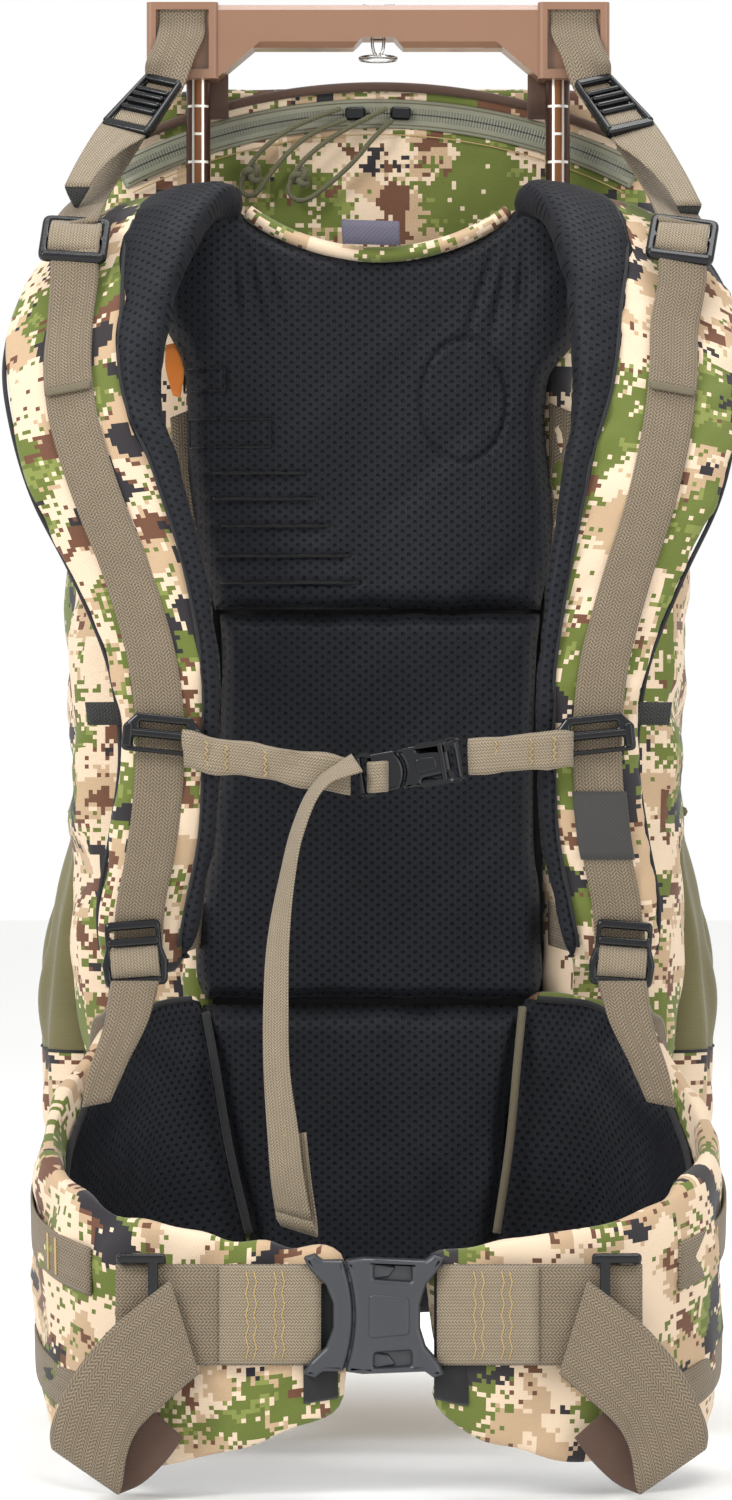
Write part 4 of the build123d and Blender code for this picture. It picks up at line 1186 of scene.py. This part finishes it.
def pad(name, half_of, top_of, low, front, back, rows, columns, relief, edge, node, material=MESH):
    """A closed pad whose front is a field of heights over its outline. Millimetres.

    half_of(z, t) is half its width, top_of(t) its top edge for t from -1 to 1, and relief(x, z) how far
    the surface stands in from the front plane.
    """
    t = np.linspace(-1, 1, columns)
    t = np.sign(t) * (1 - (1 - np.abs(t)) ** 1.25)
    s = np.linspace(0, 1, rows)
    s = 0.5 - 0.5 * np.sign(1 - 2 * s) * (1 - (1 - np.abs(1 - 2 * s)) ** 1.25)
    top = top_of(t)
    z = low + s[:, None] * (top[None, :] - low)
    half = half_of(z, t[None, :])
    x = t[None, :] * half
    inward = np.minimum(np.minimum((1 - np.abs(t))[None, :] * half, s[:, None] * (top[None, :] - low)),
                        (1 - s)[:, None] * (top[None, :] - low))
    dome = np.clip(inward / edge, 0, 1)
    dome = np.sqrt(np.maximum(0, 1 - (1 - dome) ** 2))
    y = back + (front - back) * dome + relief(x, z) * dome
    front_side = np.stack([x, y, z], -1).reshape(-1, 3) / 1000
    back_side = np.stack([x, np.full_like(x, back), z], -1).reshape(-1, 3) / 1000
    verts = np.concatenate([front_side, back_side])
    made = solid(name, verts, closed_faces(rows, columns), material, "pack", verts[:, [0, 2]])
    count = rows * columns
    pinned = np.ones(2 * count)
    pinned[:count] = (inward.ravel() < edge * 0.35) * 1.0
    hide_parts(node)
    return made, pinned


def groove(distance, width):
    """1 on a sewn line and 0 away from it."""
    return np.exp(-((distance / width) ** 2))


def line_along(x, z, z_at, x_from, x_to, width=1.4):
    """A level sewn line between two x positions."""
    outside = np.maximum(np.maximum(x_from - x, x - x_to), 0)
    return groove(np.hypot(z - z_at, outside * 0.8), width)


def box_line(x, z, left, right, low, high, width=1.2):
    """A sewn line round a rectangle."""
    dx = np.maximum(left - x, x - right)
    dz = np.maximum(low - z, z - high)
    return groove(np.abs(np.maximum(dx, dz)), width)


STEPS = ((521.3, -39), (507.5, -32), (493, -26), (477, -15), (462.6, -10), (449.3, 6))
BOXES = ((-104, -82, 565, 577), (-101, -58, 535, 550))


def yoke_relief(x, z):
    """The yoke's hollow and horns, its pleats, boxes and oval, and the folds under its horns."""
    depth = 7.5 * np.exp(-((x - 6) / 42) ** 2) * np.clip((z - 448) / 60, 0, 1)
    depth -= 4.5 * np.exp(-((np.abs(x) - 88) / 16) ** 2) * np.clip((z - 540) / 60, 0, 1)
    for z_at, x_to in STEPS:
        below = np.clip(1 - (z_at - z) / 11, 0, 1) * np.clip((z_at - z) / 1.2, 0, 1)
        depth += 3.0 * below * np.clip((x_to - x) / 4, 0, 1) + 1.8 * line_along(x, z, z_at, -110, x_to)
    depth += sum(2.4 * box_line(x, z, *box) for box in BOXES)
    oval = np.hypot((x - 46) / 23, (z - 560) / 33)
    depth += 2.0 * groove((oval - 1) * 26, 1.3) + 1.0 * np.clip(1 - oval, 0, 0.4)
    for sign in (-1, 1):
        for lean, start in ((0.55, 70), (0.9, 62), (0.2, 78)):
            run = np.abs(x * sign - start + (640 - z) * lean * 0.35)
            depth += 2.2 * groove(run, 2.6) * np.clip((z - 585) / 30, 0, 1) * np.clip((650 - z) / 25, 0, 1)
    return depth


def back_relief(x, z):
    """The back pad's hollow, its top seam and a gentle unevenness."""
    depth = 3.0 * np.exp(-((x / 40) ** 2)) * np.clip((z - 240) / 60, 0, 1)
    depth += 1.6 * line_along(x, z, 441, -78, 78, 2.0)
    depth -= 1.5 * np.exp(-(((z - 425) / 26) ** 2)) * np.cos(x / 80)
    depth += 0.8 * np.sin(x / 24 + z / 31) * np.sin(z / 47)
    return depth


def lumbar_relief(x, z):
    """The lumbar pad's hollow and a gentle unevenness."""
    depth = 5.0 * np.exp(-((x / 30) ** 2)) * np.clip((200 - z) / 90, 0, 1)
    depth += 1.2 * np.sin(x / 22 + 0.6) * np.sin(z / 29)
    return depth


def widths(left, right=None):
    """Half widths by height, from lists of (z, half width) for the left and right sides."""
    left_of, right_of = curve_of(left), curve_of(right or left)
    return lambda z, t: np.where(t < 0, left_of(z), right_of(z))


yoke_half = widths([(440, 86), (449, 88), (460, 91), (480, 95.5), (503, 99.5), (521, 102), (534, 102.5),
                    (561, 102.5), (576, 104), (588, 108), (600, 114), (640, 115), (672, 115)],
                   [(440, 86), (460, 89), (477, 92.5), (500, 94), (521, 92), (538, 90), (560, 90),
                    (576, 93), (590, 104), (613, 110), (640, 112), (672, 113)])
yoke_top = curve_of([(-1, 640), (-0.93, 654), (-0.8, 666), (-0.7, 667), (-0.61, 659), (-0.42, 647),
                     (-0.23, 640), (0, 637), (0.23, 640), (0.42, 647), (0.61, 659), (0.7, 667), (0.8, 666),
                     (0.93, 654), (1, 640)])
yoke, _ = pad("yoke_pad_mesh", yoke_half, yoke_top, 448.3, -71, -49, 170, 150, yoke_relief, 12, "yoke_pad")
back_half = widths([(236, 90), (246, 96), (262, 98), (290, 95), (330, 89), (360, 85), (420, 84), (450, 85)],
                   [(236, 80), (246, 86), (275, 87), (320, 84), (360, 83.5), (420, 85), (450, 87)])
back_low = curve_of([(-1, 446), (1, 446)])
back_pad, _ = pad("back_pad_mesh", back_half, back_low, 239, -70, -49, 100, 90, back_relief, 9, "back_pad")
lumbar_half = widths([(72, 56), (84, 62), (100, 66), (118, 71), (150, 79), (200, 89), (228, 95), (237, 94)],
                     [(72, 50), (84, 56), (100, 60), (118, 65), (150, 70), (200, 75.5), (228, 79),
                      (237, 79)])
lumbar_top = curve_of([(-1, 236), (1, 236)])
lumbar, lumbar_pins = pad("lumbar_pad_mesh", lumbar_half, lumbar_top, 72, -80, -49, 70, 80, lumbar_relief,
                          14, "lumbar_pad")
inflate(lumbar, lumbar_pins, 4.0, 0.005, grow=0.02)
for piece, seed in ((yoke, 2.0), (back_pad, 3.0), (lumbar, 5.0)):
    held = coords(piece)[:, 1] < -0.052
    rumple(piece, 0.06, 0.0011, seed, keep=held)


def on_pad(piece, places, lift=0.0):
    """Points (x, z) in millimetres, moved onto the front of a pad."""
    front = coords(piece)[:len(piece.data.vertices) // 2]
    near = [np.argmin((front[:, 0] - x / 1000) ** 2 + (front[:, 2] - z / 1000) ** 2) for x, z in places]
    return np.array([(x / 1000, front[i, 1] - lift, z / 1000) for (x, z), i in zip(places, near)])


# A near-black rod along each step of the yoke: its seam, and a painted shadow under the step.
for number, (z_at, x_to) in enumerate(STEPS):
    run = np.linspace(-84 if z_at < 500 else -88, x_to, 30)
    sweep(f"yoke_step_{number}", on_pad(yoke, [(x, z_at) for x in run]), 0.0010, "pack", SEAM_SHADOW, sides=6)
for number, (left, right, low, high) in enumerate(BOXES):
    corners = [(left, low), (right, low), (right, high), (left, high), (left, low)]
    outline = np.concatenate([np.linspace(a, b, 12)[:-1] for a, b in zip(corners, corners[1:])])
    sweep(f"yoke_box_{number}", on_pad(yoke, outline), 0.0007, "pack", PIPING, sides=6, closed=True)
top_t = np.linspace(-0.62, 0.62, 60)
edge_line = np.stack([top_t * 113, np.full(60, -60.0), yoke_top(top_t) + 1.5], 1) / 1000
sweep("yoke_binding", edge_line, 0.0042, "pack", CAMO, sides=12, squash=1.6)
label_rows = mm([((-19.5, -69, 656.5), (11.5, -69, 655.5)), ((-19.5, -71, 651), (11.5, -71, 650)),
                 ((-19, -70.5, 643.5), (12, -70.5, 642.5))])
band("size_label", label_rows, "pack", LABEL, thick=0.0008)
tab = mm([((-114, -60, 590), (-109, -62, 591)), ((-114, -62, 578), (-104, -64, 578)),
          ((-110, -60, 563), (-106, -62, 562))])
band("pull_tab", tab, "pack", TAB, thick=0.0012)
for side, sign in SIDES:
    # A rod runs along each lumbar pad's outer edge: olive binding on the right, and on the left black piping
    # that stands for the shadow along the pad's edge, a painted shadow.
    edge_run = sided([(92, -75, 233), (88, -81, 212), (79, -82, 160), (69, -81, 116)] if sign < 0 else
                 [(77, -76, 236), (74.5, -82, 212), (69.5, -82.5, 160), (63, -82, 116)], sign)
    line, _ = resample(edge_run, 40)
    sweep(f"lumbar_binding_and_shadow_{side}", line, 0.0022, "pack", BINDING if sign > 0 else PIPING, sides=8)
    gap = sided([((92, -47, 560), (112, -47, 552)), ((92, -47, 530), (110, -47, 522)),
                 ((90, -47, 480), (102, -47, 476))], sign)
    band(f"side_gap_webbing_{side}", gap, "pack", COYOTE)
    flap = sided([((92, -52, 292), (92, -52, 268)), ((104, -78, 287), (104, -80, 265)),
                  ((112, -118, 283), (112, -120, 263)), ((117, -146, 282), (117, -147, 262))], sign)
    band(f"stabiliser_flap_{side}", flap, "pack", COYOTE, flip=sign)
    panel = sided([((85, -46, 78), (108, -17, 78)), ((86, -46, 195), (126, -16.5, 195)),
                   ((96, -30.5, 222), (131, -15.5, 222)), ((97, -30.5, 420), (134, -15, 420)),
                   ((97, -30.5, 642), (130, -16, 642))], sign)
    sleeve_panel = band(f"sleeve_panel_{side}", panel, "pack", CAMO, thick=0.0022, flip=sign, count=120,
                        shift=0.3 + 0.2 * sign)
    rumple(sleeve_panel, 0.04, 0.0008, 16.0 + sign)

# ---- hip belt -----------------------------------------------------------------------------
WING_EDGES = [
    ((125, -70, 74), (128, -68, 237)), ((156, -98, 56), (158, -92, 205)),
    ((168, -140, 36), (172, -130, 176)), ((160, -185, 18), (164, -176, 156)),
    ((128, -218, 12), (130, -214, 138)), ((80, -234, 18), (80, -234, 128)),
    ((40, -238, 32), (40, -238, 123)),
]
for side, sign in SIDES:
    root = ((66, -62, 84), (96, -62, 242)) if sign < 0 else ((60, -62, 84), (80, -62, 242))
    tip = ((18, -239, 44), (18, -239, 118)) if sign < 0 else ((25, -239, 44), (25, -239, 118))
    rows, at = resample(sided([root, *WING_EDGES, tip], sign), 110)
    wing, frames = padded_strip(f"hip_wing_{side}_pad", rows, at, 0.0136, -sign, "pack", (CAMO, MESH),
                                0.0020, 0.010, power=3.6, shift=(0.8 + 0.4 * sign, 0.5 * sign), wrap=1.66)
    rumple(wing, 0.045, 0.0021, seed=7.5 + sign)
    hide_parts(f"hip_wing_{side}")
    middle, across, normal, width = frames
    rim_width = np.interp(at, [0, 0.04, 0.08, 0.125, 0.17], [0.001, 0.004, 0.009, 0.018, 0.025])[:, None]
    sweep(f"wing_binding_{side}", (rows[:, 1] - across * rim_width - normal * 0.0088)[2:66], 0.0018, "pack",
          PIPING, sides=8)
    liner_rows = np.stack([rows[:, 0] + across * 0.006, rows[:, 1] - across * rim_width], 1)
    liner_rows -= normal[:, None] * 0.0074
    liner, _ = padded_strip(f"wing_liner_{side}", liner_rows[:64], at[:64], 0.005, sign, "pack",
                            (MESH, MESH), 0.0022, 0.02, power=3.0, shift=(0.2, 0.1))
    rumple(liner, 0.04, 0.0016, seed=9.1 + sign)

    def on_wing(start, stop, low, high, lift, count=12):
        """Edge pairs on the wing's outer face, by shares of its length and heights above its middle."""
        where = np.linspace(start, stop, count) * at[-1]
        pick = [np.stack([np.interp(where, at, frames[k][:, j]) for j in range(3)], 1) for k in (0, 1, 2)]
        first = pick[0] + pick[1] * low + pick[2] * lift
        second = pick[0] + pick[1] * high + pick[2] * lift
        return np.stack([first, second], 1)

    band(f"wing_band_upper_{side}", on_wing(0.36, 0.64, 0.018, 0.043, 0.0092), "pack", COYOTE, flip=-sign)
    band(f"wing_band_lower_{side}", on_wing(0.44, 0.64, -0.046, -0.024, 0.0088), "pack", COYOTE, flip=-sign)
    for number, share in enumerate((0.55, 0.57)):
        tack = on_wing(share, share + 0.004, 0.021, 0.040, 0.0103, count=3)
        band(f"wing_tack_{side}_{number}", tack, "pack", THREAD, thick=0.0006, flip=-sign)
    tip_edges = on_wing(0.945, 0.994, -0.033, 0.034, 0.0086, count=5)
    band(f"wing_tip_{side}", tip_edges, "pack", PIPING, thick=0.002, flip=-sign)

    belt_body = "hip_plug" if sign < 0 else "pack"
    low_z, high_z = 0.0646, 0.1154
    belt_x = np.array([29, 50, 70, 90, 110, 122, 132]) * sign / 1000
    belt = np.array([((x, -0.250, low_z), (x, -0.250, high_z)) for x in belt_x])
    strap_web = band(f"hip_webbing_{side}_band", belt, belt_body, COYOTE, flip=-sign, thick=WEB)
    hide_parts(f"hip_webbing_{side}")
    second = np.array([((x, -0.2518, low_z + 0.0006), (x, -0.2518, high_z - 0.0006))
                       for x in np.array([29, 50, 66, 80]) * sign / 1000])
    band(f"hip_webbing_{side}_double", second, belt_body, LIGHT_WEB, flip=-sign, thick=0.0014)
    for number, x in enumerate((48, 52, 62, 66)):
        stitches(f"hip_tack_{side}_{number}", (x * sign, 90), 44, belt_body, -252.6)

    lock_place = place_at(mm(119 * sign, -250, 90), (1, 0, 0), (0, -1, 0))
    lock_out = rounded([(-12, -30), (12, -30), (13, -20), (13, 20), (12, 30), (-12, 30), (-13, 20),
                        (-13, -20)], 4.0)
    parts = [(lock_out, [rect(6.4, 52, 1.2, (-5.4, 0)), rect(6.4, 52, 1.2, (5.4, 0))], 4.0, 1.4, -2.6)]
    for low_end in (-1, 1):
        parts.append((rect(25, 5.2, 2.2, (0, 28.5 * low_end)), [], 6.8, 2.0, 3.2))
    parts.append((rect(5.2, 58, 2.2, (-6 * sign, 0)), [], 2.8, 1.1, 5.1))
    moulding(f"loop_lock_{side}", parts, lock_place, "pack")

    tail_edges = sided([((90, -255.2, 61), (104.5, -255.2, 108)), ((103, -258, 50), (120, -258.2, 96)),
                        ((116.5, -258.8, 38), (136, -259, 82)), ((122.5, -258.8, 30), (150, -259, 65)),
                        ((126, -258.2, 20), (160, -258.6, 46)), ((129, -257, 3), (164.5, -257, 28)),
                        ((130, -255, 0.5), (164, -255, 24))], sign)
    # The tail's end folds back behind it, and the return is drawn in the darker brown cloth: painted shade
    # behind the fold.
    shaded_return_edges = sided([((129.5, -253.2, 0.8), (163.5, -253.2, 24)), ((121, -249.5, 4), (158, -249.5, 31)),
                        ((108, -247.5, 15), (146, -247.5, 44)), ((98, -247, 28), (134, -247, 60))], sign)
    band(f"hip_tail_{side}_return", shaded_return_edges, "pack", BROWN, flip=-sign, count=30)
    hip_tail = band(f"hip_tail_{side}_webbing", tail_edges, "pack", COYOTE, flip=-sign, count=70, shift=0.1)
    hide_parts(f"hip_tail_{side}")

release_buckle("hip", (-2.5, -252.2, 90), (1, 0, 0), (71, 62, 11), -14.0, ("hip_plug", "pack"), GREY_ACETAL,
               26.0, depth=0.36)

# ---- bag ----------------------------------------------------------------------------------
BAG_SECTIONS = [(68, 118, 180), (100, 146, 230), (200, 160, 256), (400, 166, 262), (560, 165, 254),
                (650, 158, 232), (690, 150, 210), (715, 138, 180), (733, 112, 146)]
half_at = curve_of([(z, w) for z, w, _ in BAG_SECTIONS])
depth_at = curve_of([(z, d) for z, _, d in BAG_SECTIONS])
FRONT_Y = -18.0
BAG_LOW, BAG_TOP = 68, 733
BAG_COLUMNS = 132


def bag_loop(z, half, depth, columns):
    """One level of the bag: a rounded rectangle of evenly spaced points, with its larger corners behind."""
    front, rear = min(20, half * 0.5), min(58, half * 0.6, depth * 0.45)
    corners = [(-half + front, FRONT_Y + front, front, 180), (half - front, FRONT_Y + front, front, 270),
               (half - rear, FRONT_Y + depth - rear, rear, 0),
               (-half + rear, FRONT_Y + depth - rear, rear, 90)]
    outline = []
    for cx, cy, radius, start in corners:
        for step in range(9):
            a = math.radians(start + step * 90 / 8)
            outline.append((cx + radius * math.cos(a), cy + radius * math.sin(a)))
    outline = np.array(outline + outline[:1])
    at = np.r_[0, np.cumsum(np.linalg.norm(np.diff(outline, axis=0), axis=1))]
    where = np.linspace(0, at[-1], columns, endpoint=False)
    return np.stack([np.interp(where, at, outline[:, 0]), np.interp(where, at, outline[:, 1]),
                     np.full(columns, z)], 1)


def closing(z, shares, back):
    """Loops at one level that shrink towards its middle, to close an end of the bag."""
    half, depth = half_at(z), depth_at(z)
    return [bag_loop(z, half * s, depth * s, BAG_COLUMNS) + np.array([0, (1 - s) * depth * back, 0])
            for s in shares]


levels = np.concatenate([np.linspace(BAG_LOW, 600, 46), np.linspace(608, BAG_TOP, 20)])
loops = [bag_loop(z, half_at(z), depth_at(z), BAG_COLUMNS) for z in levels]
bottom = closing(BAG_LOW, (0.05, 0.35, 0.65, 0.88), 0.5)
crown = closing(BAG_TOP, (0.9, 0.68, 0.4, 0.08), 0.42)
loops = np.array(bottom + loops + crown)
verts = loops.reshape(-1, 3) / 1000
faces = tube_faces(len(loops), BAG_COLUMNS)
bag = solid("bag_body_fabric", verts, faces, CAMO, "pack", verts[:, [0, 2]])
x, y, z = (verts * 1000).T
arc = np.abs(np.hypot(x, z - 410) - 309)
on_front = y < FRONT_Y + 3
seam = ((on_front & (arc < 11)) | (np.abs(z - 560) < 6) | (np.abs(z - 350) < 5) | (z > BAG_TOP - 1)
        | (z < BAG_LOW + 1))
seam |= (np.abs(np.abs(x) - half_at(z)) < 5) & (np.abs(y - (FRONT_Y + 60)) < 6)
pins = np.where(seam, 1.0, np.where(on_front, 0.35, 0.0))
inflate(bag, pins, 3.0, 0.007, frames=16, grow=0.03)
loose = np.where(on_front, 0.35, 1.0) * np.where(seam, 0.3, 1.0)
rumple(bag, 0.075, 0.0022, 6.0, keep=loose)
rumple(bag, 0.026, 0.0007, 8.0, keep=loose)
box_uv(bag, (0.13, 0.41))
subdivided(bag)
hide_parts("bag_body")


def over_arc(radius, half_angle, y, count=60):
    """A line over the front of the bag's top, following its rounded corners."""
    turn = np.radians(np.linspace(-half_angle, half_angle, count))
    x = radius * np.sin(turn)
    around = 20 - np.sqrt(400 - np.clip(np.abs(x) - 130, 0, 19) ** 2)
    return np.stack([x, y + around, 410 + radius * np.cos(turn)], 1) / 1000


zip_edges = np.stack([over_arc(301, 27, -19.6), over_arc(317, 27, -19.6)], 1)
tape = band("zipper_tape_band", zip_edges, "pack", TAPE, thick=0.0014, flip=-1.0, count=100)
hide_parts("zipper")
for number, (radius, material) in enumerate(((297.5, THREAD), (303.0, BINDING), (315.0, BINDING))):
    sweep(f"zip_stitch_{number}", over_arc(radius, 26.6, -20.3, 90), THREAD_RADIUS, "pack", material,
          sides=5)
sweep("bag_top_piping", over_arc(323.5, 25.5, -20.0), 0.0026, "pack", BROWN, sides=8)
for side, _ in SIDES:
    dress(f"zip_slider_{side}", ACETAL, 0.0006)

POCKET_LOW, POCKET_SEAM, POCKET_TOP = 136, 205, 339
POCKET_LEVELS = curve_of([(POCKET_LOW, 8), (146, 18), (163, 25), (212, 27), (248, 25), (272, 20), (317, 9),
                          (POCKET_TOP, 4)])
for side, sign in SIDES:
    zs = np.linspace(POCKET_LOW, POCKET_TOP, 58)
    ys = np.linspace(-1, 1, 64)
    zz, tt = np.meshgrid(zs, ys, indexing="ij")
    bulge = POCKET_LEVELS(zz)
    length = (150 + bulge) / 2
    round_off = np.sqrt(np.clip(1 - np.abs(tt) ** 5, 0, 1))
    gather = 2.3 * np.sin(tt * 22 + zz / 26) * np.clip((POCKET_TOP - zz) / 60, 0.25, 1)
    gather = gather + 1.2 * np.sin(tt * 11 - zz / 14)
    reach = half_at(zz) + 0.8 + (bulge - 3.5) * round_off + gather * round_off
    outer = np.stack([sign * reach, 100 + tt * length, zz], -1)
    inner = np.stack([sign * (half_at(zz) - 2), 100 + tt * length * 0.98, zz], -1)
    verts = np.concatenate([outer.reshape(-1, 3), inner.reshape(-1, 3)]) / 1000
    n, m = zz.shape
    faces = closed_faces(n, m)
    sheet = [int(zs[f // (m - 1)] < POCKET_SEAM) for f in range((n - 1) * (m - 1))]
    picks = sheet * 2 + [0] * (len(faces) - 2 * len(sheet))
    pocket = solid(f"side_pocket_{side}_fabric", verts, faces, [STRETCH, CAMO], "pack", verts[:, [1, 2]],
                   picks)
    seam_row = int(np.searchsorted(zs, POCKET_SEAM))
    sweep(f"side_pocket_{side}_seam", outer[seam_row] / 1000, 0.0010, "pack", PIPING, sides=6)
    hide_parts(f"side_pocket_{side}")
    hem_out = 1.5 + (POCKET_LEVELS(POCKET_TOP) - 2.5) * np.sqrt(np.clip(1 - np.abs(ys) ** 5, 0, 1))
    hem = np.stack([sign * (half_at(POCKET_TOP) + hem_out), 100 + ys * 82, np.full(64, float(POCKET_TOP))],
                   1) / 1000
    sweep(f"side_pocket_{side}_hem", hem, 0.0030, "pack", BINDING, sides=8)

zs = np.linspace(150, 520, 60)
xs = np.linspace(-93, 93, 60)
zz, xx = np.meshgrid(zs, xs, indexing="ij")
bulge = curve_of([(150, 3), (200, 12), (400, 12), (520, 5)])(zz)
side_fall = np.sqrt(np.clip(1 - np.abs(xx / 93.001) ** 6, 0, 1))
side_fall *= np.sqrt(np.clip(1 - np.abs((zz - 335) / 185.01) ** 8, 0, 1))
y_out = FRONT_Y + depth_at(zz) + 0.6 + (bulge - 1.5) * side_fall
outer = np.stack([xx, y_out, zz], -1)
inner = np.stack([xx, FRONT_Y + depth_at(zz) - 3, zz], -1)
verts = np.concatenate([outer.reshape(-1, 3), inner.reshape(-1, 3)]) / 1000
faces = [face[::-1] for face in closed_faces(60, 60)]
back_pocket = solid("back_pocket_fabric", verts, faces, CAMO, "pack", verts[:, [0, 2]]
                    + np.array([0.6, 0.2]))
rumple(back_pocket, 0.07, 0.0014, 12.0)
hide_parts("back_pocket")
pocket_edge = rounded([(-93, 150), (93, 150), (93, 520), (-93, 520)], 14, 8)
pocket_line = np.concatenate([np.linspace(a, b, 24)[:-1]
                              for a, b in zip(pocket_edge, np.roll(pocket_edge, -1, 0))
                              if np.linalg.norm(a - b) > 30])
pocket_line = np.array([(x, FRONT_Y + depth_at(z) + 1.5, z) for x, z in pocket_line]) / 1000
sweep("back_pocket_piping", pocket_line, 0.0021, "pack", BROWN, sides=8, closed=True)
back_arc = [mm(x, FRONT_Y + depth_at(470) + 8.5, 470 + 30 * math.cos(x / 60) - 24)
            for x in np.linspace(-80, 80, 40)]
sweep("back_pocket_zip", back_arc, 0.0028, "pack", TAPE, sides=8, squash=0.6)

for name, height in (("upper", 585.0), ("lower", 118.0)):
    grow = 3.4
    half, depth = float(half_at(height)) + grow, float(depth_at(height)) + grow
    level = bag_loop(height, half, depth, 240)
    level = level[(level[:, 1] > 60)]
    start = int(np.argmax(np.linalg.norm(np.diff(np.r_[level[-1:], level], axis=0), axis=1)))
    level = np.roll(level, -start, 0)
    rows = np.stack([level - (0, 0, 10), level + (0, 0, 10)], 1) / 1000
    strap = band(f"compression_strap_{name}_band", rows[::3], "pack", COYOTE, flip=1.0)
    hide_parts(f"compression_strap_{name}")
    for side, sign in SIDES:
        at_place = place_at(mm(sign * (half + 1.6), 82, height), (0, -1, 0), (sign, 0, 0))
        plate(f"compression_buckle_{name}_{side}", rect(26, 26, 4.0),
              [rect(5, 21, 1, (-6, 0)), rect(5, 21, 1, (6, 0))], 3.6, 1.3, at_place, "pack")

# ---- stage and light ----------------------------------------------------------------------
floor_material = Finish("studio_floor", srgb(244, 244, 243), 0.9)
floor_material.colour(floor_material.mix(floor_material.noise(floor_material.object, 0.8),
                                         srgb(243, 243, 242), srgb(247, 247, 246)))
floor = solid("studio_floor", [(-9, -9, -0.004), (9, -9, -0.004), (9, 9, -0.004), (-9, 9, -0.004)],
              [(0, 1, 2, 3)], floor_material.material, None, smooth=False)
world = bpy.data.worlds.new("studio")
bpy.context.scene.world = world
world.use_nodes = True
world.node_tree.nodes["Background"].inputs[0].default_value = (1, 1, 1, 1)
world.node_tree.nodes["Background"].inputs[1].default_value = 1.0
for name, place, size, power in (("key", (-1.7, -1.9, 1.9), 1.0, 52), ("fill", (1.9, -2.0, 0.8), 1.4, 12),
                                 ("top", (0.2, -0.2, 2.2), 1.0, 22)):
    lamp = bpy.data.lights.new(name, "AREA")
    lamp.size = size
    lamp.energy = power
    placed = bpy.data.objects.new(name, lamp)
    bpy.context.scene.collection.objects.link(placed)
    placed.location = place
    placed.rotation_euler = (Vector((0, -0.1, 0.4)) - Vector(place)).to_track_quat("-Z", "Y").to_euler()
bpy.context.scene.view_settings.view_transform = "Standard"
